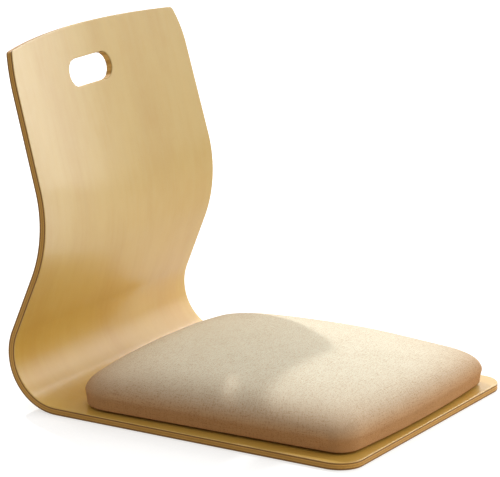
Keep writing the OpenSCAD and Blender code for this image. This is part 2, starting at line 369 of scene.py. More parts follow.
@dataclass(frozen=True)
class PlyFinish:
    """A core ply, which shows at the shell's sanded and lacquered edge."""

    name: str
    grain: Grain
    light: Colour
    deep: Colour
    middle: Colour = (0.47, 0.23, 0.04)
    middle_off: float = 0.0  # distance from the outer face of the paler ply in the middle
    middle_t: float = 0.0  # its thickness
    slot_wall_painted_light: Colour = (0.86, 0.52, 0.14)  # painted light: paler colour of the hand slot's wall, standing in for the light that reaches it
    slot_light_reach: tuple[float, float] = (0.058, 0.072)  # distance from the middle of the slot
    slot_s: float = 0.0  # arc length of the middle of the slot
    slot_light_share: float = 0.7
    long_scale: Colour = (900.0, 22.0, 1500.0)  # fibres per metre where they run along
    cross_scale: Colour = (30.0, 1100.0, 1500.0)
    run_scale: Colour = (40.0, 26.0, 700.0)
    pore_scale: float = 2300.0
    relief: tuple[float, float] = (0.35, 0.00015)

    def material(self) -> bpy.types.Material:
        """Builds the finish.

        Returns:
            The material.
        """
        tree = FinishTree.of(self.name)
        flat = tree.place(FLAT_PLACE)
        stretch = self.long_scale if self.grain is Grain.ALONG else self.cross_scale
        fibres = tree.noise(flat, stretch, 3.0, 0.62)
        runs = tree.noise(flat, self.run_scale)
        pores = tree.noise(flat, (self.pore_scale,) * 3, 1.0).between(0.6, 0.75)
        colour = tree.mix((fibres * 0.6 + runs * 0.5).between(0.3, 0.8), self.light, self.deep)
        across, along, off = tree.parts(flat)
        if self.middle_t:
            reach = self.middle_t / 2.0
            outside = (off - self.middle_off).size().between(reach, reach * 1.1)
            colour = tree.mix(outside, self.middle, colour)
        # Painted light: the plies' edges round the hand slot are made paler, as if lit through the
        # slot.
        from_slot = ((along - self.slot_s) ** 2.0 + across * across) ** 0.5
        outside_slot_light = from_slot.between(*self.slot_light_reach)
        colour = tree.mix(self.slot_light_share - outside_slot_light * self.slot_light_share, colour, self.slot_wall_painted_light)
        colour = tree.shaded(colour, 1.04 - pores * 0.35)
        return tree.finish(
            {
                "Base Color": colour,
                "Roughness": fibres * 0.2 + 0.42,
                "Specular IOR Level": 0.3,
                "Coat Weight": 0.1,
                "Coat Roughness": 0.3,
                "Normal": tree.bump(fibres - pores * 0.6, *self.relief),
            }
        )


@dataclass(frozen=True)
class CoverFinish:
    """Plain-woven upholstery cloth with slubs in its threads, and painted shade on its sides."""

    name: str
    light: Colour = (0.89, 0.845, 0.685)
    deep: Colour = (0.58, 0.42, 0.255)
    painted_shade_light: Colour = (0.52, 0.275, 0.110)  # painted shade: the sides darker and warmer towards the hem
    painted_shade_deep: Colour = (0.34, 0.155, 0.055)
    # heights between which the painted shade on the sides fades out
    low_z: float = 0.022
    high_z: float = 0.074
    thread: float = 0.0013
    wander_scale: float = 160.0  # how often the threads wander, per metre, and how far
    wander_by: float = 0.0006
    slub_scale: tuple[float, float] = (780.0, 70.0)  # slubs per metre, athwart a thread and on it
    grit_scale: float = 520.0
    patch_scale: float = 24.0
    relief: tuple[float, float] = (0.55, 0.0005)

    def material(self) -> bpy.types.Material:
        """Builds the finish.

        Returns:
            The material.
        """
        tree = FinishTree.of(self.name)
        cloth = tree.place(CLOTH_PLACE)
        wander = tree.node(
            "ShaderNodeTexNoise", {}, {"Vector": cloth, "Scale": self.wander_scale, "Detail": 1.0}
        ).outputs["Color"]
        bent = tree.moved(cloth, tree.scaled(wander, (self.wander_by, self.wander_by, 0.0)))
        across, along, _ = tree.parts(bent)
        turn = math.pi / self.thread
        warp = (across * turn).sine()
        weft = (along * turn).sine()
        over = (warp * weft).between(-0.25, 0.25)
        crests = over * warp.size() + (1.0 - over) * weft.size()
        athwart, on = self.slub_scale
        slubs_across = tree.noise(cloth, (athwart, on, 0.0))
        slubs_along = tree.noise(cloth, (on, athwart, 0.0))
        slubs = over * slubs_across + (1.0 - over) * slubs_along
        grit = tree.noise(cloth, self.grit_scale, 4.0, 0.75)
        patches = tree.noise(cloth, self.patch_scale, 3.0)
        tone = slubs * 0.6 + grit * 1.4 + patches * 0.1 - crests * 0.16
        # Painted shade: below high_z the cloth turns darker and warmer down to the hem.
        _, _, level = tree.parts(tree.object_place())
        up = level.between(self.low_z, self.high_z)
        light = tree.mix(up, self.painted_shade_light, self.light)
        deep = tree.mix(up, self.painted_shade_deep, self.deep)
        colour = tree.mix(tone.between(0.85, 1.22), light, deep)
        colour = tree.shaded(colour, crests * 0.14 + grit * 0.7 + 0.56)
        height = crests * 0.8 + slubs * 0.5 + grit * 0.5
        return tree.finish(
            {
                "Base Color": colour,
                "Roughness": grit * 0.1 + 0.86,
                "Specular IOR Level": 0.1,
                "Sheen Weight": 0.08,
                "Sheen Roughness": 0.5,
                "Sheen Tint": (1.0, 0.93, 0.82, 1.0),
                "Normal": tree.bump(height, *self.relief),
            }
        )


@dataclass(frozen=True)
class FoamFinish:
    """Open-cell foam with fine pores."""

    name: str = "foam"
    light: Colour = (0.84, 0.76, 0.55)
    deep: Colour = (0.70, 0.60, 0.38)
    cell_scale: float = 900.0  # cells per metre
    patch_scale: float = 30.0
    relief: tuple[float, float] = (0.6, 0.0006)

    def material(self) -> bpy.types.Material:
        """Builds the finish.

        Returns:
            The material.
        """
        tree = FinishTree.of(self.name)
        here = tree.object_place()
        cells = tree.node(
            "ShaderNodeTexVoronoi", {"feature": "F1"}, {"Vector": here, "Scale": self.cell_scale}
        ).outputs["Distance"]
        pores = Signal(tree, cells)
        patches = tree.noise(here, self.patch_scale, 3.0)
        colour = tree.mix((pores + patches * 0.4).between(0.2, 1.0), self.light, self.deep)
        return tree.finish(
            {
                "Base Color": colour,
                "Roughness": patches * 0.1 + 0.85,
                "Normal": tree.bump(1.0 - pores, *self.relief),
            }
        )


@dataclass(frozen=True)
class BoardFinish:
    """Unlacquered plywood of the pad's board."""

    name: str = "pad_board"
    light: Colour = (0.66, 0.48, 0.27)
    deep: Colour = (0.50, 0.33, 0.16)
    fibre_scale: Colour = (700.0, 18.0, 700.0)
    two_plies: float = 0.0025  # thickness of a pale and a dark ply
    relief: tuple[float, float] = (0.3, 0.0002)

    def material(self) -> bpy.types.Material:
        """Builds the finish.

        Returns:
            The material.
        """
        tree = FinishTree.of(self.name)
        here = tree.object_place()
        _, _, height = tree.parts(here)
        fibres = tree.noise(here, self.fibre_scale, 4.0, 0.6)
        plies = (height * (2.0 * math.pi / self.two_plies)).sine().between(-0.6, 0.6)
        colour = tree.mix((fibres * 0.8 + plies * 0.2).between(0.3, 0.8), self.light, self.deep)
        return tree.finish(
            {
                "Base Color": colour,
                "Roughness": fibres * 0.2 + 0.6,
                "Normal": tree.bump(fibres, *self.relief),
            }
        )


@dataclass(frozen=True)
class NonWovenFinish:
    """Thin dark cloth of pressed fibres that closes the pad's underside."""

    name: str = "under_cloth"
    light: Colour = (0.055, 0.052, 0.05)
    deep: Colour = (0.022, 0.021, 0.02)
    thread_scale: Colour = (900.0, 240.0, 0.0)
    crossed_scale: Colour = (260.0, 950.0, 0.0)
    dot_turn: float = 1800.0  # pressed dots, in radians per metre
    relief: tuple[float, float] = (0.5, 0.0002)

    def material(self) -> bpy.types.Material:
        """Builds the finish.

        Returns:
            The material.
        """
        tree = FinishTree.of(self.name)
        here = tree.object_place()
        threads = tree.noise(here, self.thread_scale, 3.0, 0.7)
        crossed = tree.noise(here, self.crossed_scale, 3.0, 0.7)
        felt = threads * 0.5 + crossed * 0.5
        dots_x, dots_y, _ = tree.parts(tree.scaled(here, (self.dot_turn, self.dot_turn, 0.0)))
        dots = (dots_x.sine() * dots_y.sine()).between(0.5, 0.9)
        colour = tree.mix((felt + dots * 0.2).between(0.35, 0.75), self.light, self.deep)
        return tree.finish(
            {
                "Base Color": colour,
                "Roughness": felt * 0.2 + 0.75,
                "Normal": tree.bump(felt - dots * 0.5, *self.relief),
            }
        )


@dataclass(frozen=True)
class TapeFinish:
    """Woven fastening tape whose face is a field of hooks or of brushed loops."""

    name: str
    light: Colour
    deep: Colour
    pitch: float
    pile: float
    fuzz_scale: float = 1700.0
    relief: tuple[float, float] = (0.6, 0.0003)

    def material(self) -> bpy.types.Material:
        """Builds the finish.

        Returns:
            The material.
        """
        tree = FinishTree.of(self.name)
        here = tree.object_place()
        across, along, _ = tree.parts(here)
        turn = 2.0 * math.pi / self.pitch
        tufts = ((across * turn).sine() * (along * turn).sine()).between(-0.2, 0.9)
        fuzz = tree.noise(here, self.fuzz_scale, 3.0, 0.7)
        field_tone = tufts * 0.6 + fuzz * self.pile
        colour = tree.mix(field_tone.between(0.0, 0.8), self.deep, self.light)
        return tree.finish(
            {
                "Base Color": colour,
                "Roughness": fuzz * 0.2 + 0.65,
                "Specular IOR Level": 0.2,
                "Normal": tree.bump(field_tone, *self.relief),
            }
        )


@dataclass(frozen=True)
class WireFinish:
    """Bright steel wire of the staples."""

    name: str = "staple_wire"
    light: Colour = (0.72, 0.73, 0.75)
    deep: Colour = (0.48, 0.48, 0.50)
    drawn_scale: Colour = (400.0, 2600.0, 2600.0)
    relief: tuple[float, float] = (0.2, 0.00005)

    def material(self) -> bpy.types.Material:
        """Builds the finish.

        Returns:
            The material.
        """
        tree = FinishTree.of(self.name)
        here = tree.object_place()
        drawn = tree.noise(here, self.drawn_scale)
        return tree.finish(
            {
                "Base Color": tree.mix(drawn.between(0.3, 0.8), self.light, self.deep),
                "Metallic": 1.0,
                "Roughness": drawn * 0.25 + 0.22,
                "Normal": tree.bump(drawn, *self.relief),
            }
        )


# Mesh helpers


def new_piece(
    name: str, points: np.ndarray, faces: Sequence[Sequence[int]], sharp_over: float
) -> bpy.types.Object:
    """Makes a smooth-shaded mesh object.

    Args:
        name: The piece's name.
        points: Its vertices, one row each.
        faces: Its faces, as vertex numbers.
        sharp_over: Edges that turn by more than this angle stay sharp, in degrees.

    Returns:
        The object, linked to the scene.
    """
    mesh = bpy.data.meshes.new(name)
    mesh.from_pydata(points.tolist(), [], [list(map(int, face)) for face in faces])
    mesh.validate()
    mesh.shade_smooth()
    mesh.set_sharp_from_angle(angle=math.radians(sharp_over))
    piece = bpy.data.objects.new(name, mesh)
    bpy.context.scene.collection.objects.link(piece)
    return piece


def keep_places(piece: bpy.types.Object, name: str, places: np.ndarray) -> None:
    """Stores a vector at each vertex of a piece.

    Args:
        piece: The piece.
        name: The attribute's name.
        places: One row for each vertex.
    """
    attribute = piece.data.attributes.new(name, "FLOAT_VECTOR", "POINT")
    attribute.data.foreach_set("vector", places.astype(np.float32).ravel())


def rows_of(elements: bpy.types.bpy_prop_collection, name: str) -> np.ndarray:
    """Reads a vector of each element of a mesh.

    Args:
        elements: The elements, such as the mesh's vertices.
        name: The vector's name.

    Returns:
        One row for each element.
    """
    flat = np.empty(len(elements) * 3)
    elements.foreach_get(name, flat)
    return flat.reshape(-1, 3)


def ring_band(low: int, high: int, count: int) -> list[list[int]]:
    """Joins two rings of points.

    Args:
        low: The first point of one ring.
        high: The first point of the other ring.
        count: How many points each ring has.

    Returns:
        The faces between them, which look outwards where low lies below and the rings are
        anticlockwise as seen from above.
    """
    after = [(m + 1) % count for m in range(count)]
    return [[low + m, low + n, high + n, high + m] for m, n in enumerate(after)]


def dress_piece(
    piece: bpy.types.Object, material: bpy.types.Material, slot: str, body: str
) -> None:
    """Gives a piece its finish.

    Args:
        piece: The piece.
        material: Its finish.
        slot: The slot that the finish stands for.
        body: The body that the piece rides on.
    """
    piece.data.materials.append(material)
    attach(piece, body)
    log.info("%s: %d points, finish %s", piece.name, len(piece.data.vertices), slot)


def loop_normals(loop: np.ndarray) -> np.ndarray:
    """Finds the outward normals of an anticlockwise closed line.

    Args:
        loop: Its points [x, y], one row each.

    Returns:
        One unit normal for each point.
    """
    edge = np.roll(loop, -1, 0) - loop
    edge /= np.linalg.norm(edge, axis=1)[:, None]
    normal = np.stack([edge[:, 1], -edge[:, 0]], 1)
    both = normal + np.roll(normal, 1, 0)
    return both / np.linalg.norm(both, axis=1)[:, None]


def smooth_share(share: np.ndarray) -> np.ndarray:
    """Returns a smooth step of a share from 0 to 1."""
    held = np.clip(share, 0.0, 1.0)
    return held * held * (3.0 - 2.0 * held)


# The shell


@dataclass(frozen=True)
class ShellForm:
    """Sizes and formulas of the bent shell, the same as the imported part's."""

    seat_front_w: float = 0.392
    bend_w: float = 0.384
    top_w: float = 0.365
    seat_run: float = 0.398
    bend_r: float = 0.068
    bend_angle: float = math.radians(112.0)
    neck_run: float = 0.073
    lumbar_r: float = 0.161
    lumbar_angle: float = math.radians(38.0)
    back_run: float = 0.163
    back_hollow: float = 0.023
    top_crown: float = 0.011
    front_corner_r: float = 0.031
    top_corner_r: float = 0.130
    top_corner_cut: float = 0.009
    face_t: float = 0.0008
    core_t: float = 0.0014
    glue_line: float = 0.0001
    core_plies: int = 5
    slot_w: float = 0.090
    slot_h: float = 0.034
    slot_drop: float = 0.046

    @property
    def thickness(self) -> float:
        """Returns the shell's whole thickness."""
        plies = 2 * self.face_t + self.core_plies * self.core_t
        return plies + (self.core_plies + 1) * self.glue_line

    @property
    def s_neck(self) -> float:
        """Returns the arc length at which the bend ends."""
        return self.seat_run + self.bend_r * self.bend_angle

    @property
    def s_lumbar(self) -> float:
        """Returns the arc length at which the lumbar curve starts."""
        return self.s_neck + self.neck_run

    @property
    def s_back(self) -> float:
        """Returns the arc length at which the lumbar curve ends."""
        return self.s_lumbar + self.lumbar_r * self.lumbar_angle

    @property
    def s_top(self) -> float:
        """Returns the arc length of the top of the side edges."""
        return self.s_back + self.back_run

    @property
    def top_corner_turn(self) -> float:
        """Returns the angle that the curve at each top corner turns through."""
        return math.acos(1.0 - self.top_corner_cut / self.top_corner_r)

    @property
    def s_corner(self) -> float:
        """Returns the arc length at which the sides start to curve in below the top edge."""
        return self.s_top - self.top_corner_r * math.sin(self.top_corner_turn)

    @property
    def s_slot(self) -> float:
        """Returns the arc length of the middle of the hand slot."""
        return self.s_top - self.slot_drop

    @property
    def slot_end(self) -> float:
        """Returns how far the middle of the hand slot's round ends is from the chair's middle."""
        return (self.slot_w - self.slot_h) / 2.0

    def past_slot(self, plan: np.ndarray) -> np.ndarray:
        """Returns how far points [x, arc length] of the blank lie outside the hand slot."""
        x, s = plan.T
        away = np.stack([x - np.clip(x, -self.slot_end, self.slot_end), s - self.s_slot], 1)
        return np.linalg.norm(away, axis=1) - self.slot_h / 2.0

    @property
    def back_heading(self) -> float:
        """Returns the heading of the back above the lumbar curve."""
        return self.bend_angle - self.lumbar_angle

    @property
    def y_front(self) -> float:
        """Returns the place of the front edge, with the origin under the middle of the chair."""
        top = self.profile(np.array([self.s_top]))[0, 0]
        heading = self.back_heading
        reach = top + self.top_crown * math.cos(heading) + self.back_hollow * math.sin(heading)
        return -max(reach, self.seat_run + self.bend_r) / 2.0

    def heading(self, s: np.ndarray) -> np.ndarray:
        """Returns the heading of the side profile at arc lengths s, from the horizontal."""
        knots = [0.0, self.seat_run, self.s_neck, self.s_lumbar, self.s_back, self.s_top]
        turns = [0.0, 0.0, self.bend_angle, self.bend_angle, self.back_heading, self.back_heading]
        return np.interp(s, knots, turns)

    def profile(self, s: np.ndarray) -> np.ndarray:
        """Finds points of the outer face's side profile.

        Args:
            s: Arc lengths from the front edge.

        Returns:
            One row [y from the front edge, z] for each arc length.
        """
        h, lean = self.heading(s), self.bend_angle
        neck = np.array([self.seat_run, 0.0]) + self.bend_r * np.array(
            [math.sin(lean), 1.0 - math.cos(lean)]
        )
        lumbar = neck + self.neck_run * np.array([math.cos(lean), math.sin(lean)])
        up = self.back_heading
        back = lumbar + self.lumbar_r * np.array(
            [math.sin(lean) - math.sin(up), math.cos(up) - math.cos(lean)]
        )
        along = np.stack([np.cos(h), np.sin(h)], 1)
        bend = np.stack([np.sin(h), 1.0 - np.cos(h)], 1)
        turn = np.stack([math.sin(lean) - np.sin(h), np.cos(h) - math.cos(lean)], 1)
        pieces = [
            np.stack([s, np.zeros_like(s)], 1),
            np.array([self.seat_run, 0.0]) + self.bend_r * bend,
            neck + (s - self.s_neck)[:, None] * along,
            lumbar + self.lumbar_r * turn,
            back + (s - self.s_back)[:, None] * along,
        ]
        stretch = np.searchsorted([self.seat_run, self.s_neck, self.s_lumbar, self.s_back], s)
        return np.choose(stretch[:, None], pieces)

    def half_width(self, s: np.ndarray) -> np.ndarray:
        """Returns half of the shell's width at arc lengths s, before its corners are rounded."""
        knots = [0.0, self.seat_run, self.s_top]
        return np.interp(s, knots, [self.seat_front_w, self.bend_w, self.top_w]) / 2.0

    def crown(self, x: np.ndarray, s: np.ndarray) -> np.ndarray:
        """Returns how far the crown of the top edge lifts a point."""
        share = np.clip((s - self.s_back) / self.back_run, 0.0, 1.0)
        return self.top_crown * share * (1.0 - (x / self.half_width(s)) ** 2)

    def point(self, flat: np.ndarray) -> np.ndarray:
        """Bends points of the flat blank into the shell.

        Args:
            flat: One row [x, arc length, distance from the outer face] for each point.

        Returns:
            The points in the part's frame.
        """
        x, s, off = flat.T
        h = self.heading(s)
        hollow = self.back_hollow * smooth_share((s - self.s_neck) / (self.s_back - self.s_neck))
        rise = off - hollow * (1.0 - (x / self.half_width(s)) ** 2)
        side = self.profile(s)
        return np.stack(
            [x, self.y_front + side[:, 0] - np.sin(h) * rise, side[:, 1] + np.cos(h) * rise], 1
        )


@dataclass
class PlywoodShell:
    """The bent plywood shell: two face veneers and five core plies, with a hand slot."""

    form: ShellForm
    body: str = "shell"
    arris_r: float = 0.0012  # radius of the sanded edges
    arris_steps: int = 6
    face_border: float = 0.0007  # narrow flat strip beside each sanded edge
    edge_steps: int = 32  # along the front edge, and along the top edge
    corner_steps: int = 14
    blunt_steps: int = 9
    blunt_r: float = 0.005  # radius that softens each top corner
    slot_steps: int = 20
    slot_slack: float = 0.00034  # a triangle counts as outside the slot down to this far inside
    cross_steps: int = 38
    row_steps: tuple[int, ...] = (26, 32, 12, 24, 18)  # seat, bend, neck, lumbar curve, back
    top_shares: tuple[float, ...] = (0.22, 0.44, 0.66, 0.88, 1.1)  # rows beside the top corners
    straight_steps: int = 8  # along each straight side of the slot
    crease: float = 38.0  # edges that turn by more degrees stay sharp
    keep_off: float = 0.0042  # inner grid points stay this far from the outline

    def rows(self) -> np.ndarray:
        """Returns the arc lengths of the grid's rows between the rounded corners."""
        f = self.form
        knots = [f.front_corner_r, f.seat_run, f.s_neck, f.s_lumbar, f.s_back]
        knots.append(f.s_corner)
        parts = [
            np.linspace(a, b, n + 1)[:-1] for a, b, n in zip(knots, knots[1:], self.row_steps)
        ]
        return np.concatenate([*parts, [knots[-1]]])

    def outline(self) -> np.ndarray:
        """Draws the blank's outline.

        Returns:
            Its points [x, arc length], anticlockwise as the sitter sees it.
        """
        f = self.form
        turn = np.linspace(0.0, math.pi / 2, self.corner_steps + 1)
        front_s = f.front_corner_r * (1.0 - np.cos(turn))
        front_x = f.half_width(front_s) - f.front_corner_r * (1.0 - np.sin(turn))
        rows = self.rows()[1:-1]
        top_s, drawn_in = self.top_corner()
        top_x = f.half_width(top_s) - drawn_in
        right = np.concatenate(
            [
                np.stack([front_x, front_s], 1),
                np.stack([f.half_width(rows), rows], 1),
                np.stack([top_x, top_s], 1),
            ]
        )
        across = np.linspace(-1.0, 1.0, self.edge_steps + 1)[1:-1]
        front = np.stack([across * front_x[0], np.zeros_like(across)], 1)
        top = np.stack([-across * top_x[-1], np.full_like(across, f.s_top)], 1)
        left = right[::-1] * np.array([-1.0, 1.0])
        loop = np.concatenate([front, right, top, left])
        loop[:, 1] += f.crown(loop[:, 0], loop[:, 1])
        return loop

    def top_corner(self) -> tuple[np.ndarray, np.ndarray]:
        """Draws a top corner: a long curve, then a short one that softens it at the top edge.

        Returns:
            The arc lengths of its points, and how far each is drawn in from the side.
        """
        f, long_r, short_r = self.form, self.form.top_corner_r, self.blunt_r
        rise = f.s_top - f.s_corner - short_r
        reach = math.sqrt((long_r - short_r) ** 2 - rise**2)
        meet = math.atan2(rise, reach)
        first = np.linspace(0.0, meet, self.blunt_steps + 1)
        last = np.linspace(meet, math.pi / 2, self.blunt_steps + 1)[1:]
        s = np.concatenate(
            [f.s_corner + long_r * np.sin(first), f.s_top - short_r * (1.0 - np.sin(last))]
        )
        drawn_in = np.concatenate(
            [long_r * (1.0 - np.cos(first)), long_r - reach - short_r * np.cos(last)]
        )
        return s, drawn_in

    def slot(self) -> np.ndarray:
        """Draws the hand slot's outline.

        Returns:
            Its points [x, arc length], clockwise as the sitter sees it.
        """
        f = self.form
        end_x, r = f.slot_end, f.slot_h / 2.0
        turn = np.linspace(-math.pi / 2, math.pi / 2, self.slot_steps + 1)
        arc = np.stack([end_x + r * np.cos(turn), r * np.sin(turn)], 1)
        straight = np.linspace(end_x, -end_x, self.straight_steps + 1)[1:-1]
        upper = np.stack([straight, np.full_like(straight, r)], 1)
        loop = np.concatenate([arc, upper, -arc, -upper])[::-1]
        return loop + np.array([0.0, f.s_slot])

    def grid(self, outline: np.ndarray) -> np.ndarray:
        """Sets out the points inside the outline.

        Args:
            outline: The blank's outline.

        Returns:
            Their places [x, arc length], clear of the outline and of the slot.
        """
        f = self.form
        step = f.front_corner_r / 3.0
        corner = f.s_corner + (f.s_top - f.s_corner) * np.array(self.top_shares)
        rows = np.concatenate([[step, 2 * step], self.rows(), corner])
        shares = np.linspace(-1.0, 1.0, self.cross_steps + 1)[1:-1]
        s, share = (a.ravel() for a in np.meshgrid(rows, shares, indexing="ij"))
        x = share * f.half_width(s)
        points = np.stack([x, s + f.crown(x, s)], 1)
        gap = np.full(len(points), np.inf)
        inside = np.zeros(len(points), bool)
        for a, b in zip(outline, np.roll(outline, -1, 0)):
            edge = b - a
            along = np.clip(((points - a) @ edge) / (edge @ edge), 0.0, 1.0)
            gap = np.minimum(gap, np.linalg.norm(points - a - along[:, None] * edge, axis=1))
            crosses = (a[1] > points[:, 1]) != (b[1] > points[:, 1])
            rise = np.where(crosses, (points[:, 1] - a[1]) / (edge[1] or 1.0), 0.0)
            inside ^= crosses & (points[:, 0] < a[0] + rise * edge[0])
        return points[inside & (gap > self.keep_off) & (f.past_slot(points) > self.keep_off)]

    def levels(self, low: float, high: float) -> list[tuple[float, float]]:
        """Steps through a ply from its lower to its upper face.

        Args:
            low: Distance of its lower face from the shell's outer face.
            high: Distance of its upper face.

        Returns:
            Each step's distance from the outer face, and how far its edge is drawn in.
        """
        whole, r = self.form.thickness, self.arris_r
        turns = np.linspace(0.0, math.pi / 2, self.arris_steps + 1)
        depths = [r * (1.0 - math.cos(t)) for t in turns]
        stops = sorted({low, high, *depths, *(whole - d for d in depths)})

        def drawn_in(off: float) -> float:
            """Returns how far the edge is drawn in at a distance from the outer face."""
            depth = min(off, whole - off)
            return 0.0 if depth >= r else r - math.sqrt(max(r * r - (r - depth) ** 2, 0.0))

        slack = 1e-7
        steps = [(off, drawn_in(off)) for off in stops if low - slack <= off <= high + slack]
        steps = [a for a, b in zip(steps, [*steps[1:], (1.0, 0.0)]) if b[0] - a[0] > slack]
        if low < slack:
            steps.insert(0, (low, r + self.face_border))
        if high > whole - slack:
            steps.append((high, r + self.face_border))
        return steps

    def build(self) -> dict[str, bpy.types.Object]:
        """Builds the plies.

        Returns:
            Each ply by the name of the node that it replaces.
        """
        f = self.form
        outline, slot = self.outline(), self.slot()
        inner = self.grid(outline)
        rims = [outline, slot]
        normals = np.concatenate([loop_normals(rim) for rim in rims])
        starts = [0, len(outline), len(outline) + len(slot)]
        edges = [
            (starts[k] + i, starts[k] + (i + 1) % len(rim))
            for k, rim in enumerate(rims)
            for i in range(len(rim))
        ]
        flat = np.concatenate([*rims, inner])
        found = delaunay_2d_cdt([Vector(p) for p in flat], edges, [], 1, 1e-7)
        if len(found[0]) != len(flat):
            raise RuntimeError("the blank's outline crosses itself")
        place = {new: old[0] for new, old in enumerate(found[3])}
        triangles = np.array([[place[v] for v in face] for face in found[2]])
        outside = f.past_slot(flat[triangles].mean(1)) > -self.slot_slack
        triangles = triangles[outside]
        a, b, c = (flat[triangles[:, k]] for k in range(3))
        turned = np.cross(b - a, c - a) < 0
        triangles[turned] = triangles[turned][:, ::-1]

        made = {}
        bottom = 0.0
        names = ["outer_face_veneer"]
        names += [f"core_ply_{n}" for n in range(1, f.core_plies + 1)]
        names += ["inner_face_veneer"]
        for name in names:
            thick = f.face_t if "veneer" in name else f.core_t
            made[name] = self.ply(
                name, self.levels(bottom, bottom + thick), flat, normals, edges, triangles
            )
            bottom += thick + f.glue_line
        return made

    def ply(
        self,
        node: str,
        levels: list[tuple[float, float]],
        flat: np.ndarray,
        normals: np.ndarray,
        edges: list[tuple[int, int]],
        triangles: np.ndarray,
    ) -> bpy.types.Object:
        """Builds one ply.

        Args:
            node: The node that it replaces.
            levels: Its steps, as the method of that name gives them.
            flat: The blank's points, those of its rims first.
            normals: The rims' outward normals.
            edges: The rims' edges.
            triangles: The blank's triangles.

        Returns:
            The ply.
        """
        rim = len(normals)
        layers = []
        for place, (off, drawn_in) in enumerate(levels):
            ring = flat.copy() if place in (0, len(levels) - 1) else flat[:rim].copy()
            ring[:rim] -= normals * drawn_in
            layers.append(np.column_stack([ring, np.full(len(ring), off)]))
        starts = np.cumsum([0, *(len(layer) for layer in layers)])
        faces = [tri[::-1] for tri in triangles]
        faces += [tri + starts[len(levels) - 1] for tri in triangles]
        for k in range(len(levels) - 1):
            low, high = starts[k], starts[k + 1]
            faces += [(low + i, low + j, high + j, high + i) for i, j in edges]
        blank = np.concatenate(layers)
        piece = new_piece(f"shell_{node}", self.form.point(blank), faces, self.crease)
        keep_places(piece, FLAT_PLACE, blank)
        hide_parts(node)
        return piece

    def dress(self, plies: dict[str, bpy.types.Object]) -> None:
        """Gives each ply its finish, its slot and its body.

        Args:
            plies: The plies by node.
        """
        f = self.form
        cross = PlyFinish(
            "cross_ply", Grain.ACROSS, (0.28, 0.12, 0.018), (0.17, 0.065, 0.008),
            middle_off=f.thickness / 2.0, middle_t=f.core_t, slot_s=f.s_slot,
        )
        long = PlyFinish(
            "long_ply", Grain.ALONG, (0.66, 0.36, 0.075), (0.50, 0.25, 0.04), slot_s=f.s_slot
        )
        slots = {
            "face_veneer": VeneerFinish("face_veneer").material(),
            "cross_ply": cross.material(),
            "long_ply": long.material(),
        }
        for node, piece in plies.items():
            slot = "face_veneer"
            if "core" in node:
                slot = "cross_ply" if int(node[-1]) % 2 else "long_ply"
            dress_piece(piece, slots[slot], slot, self.body)


# The seat pad


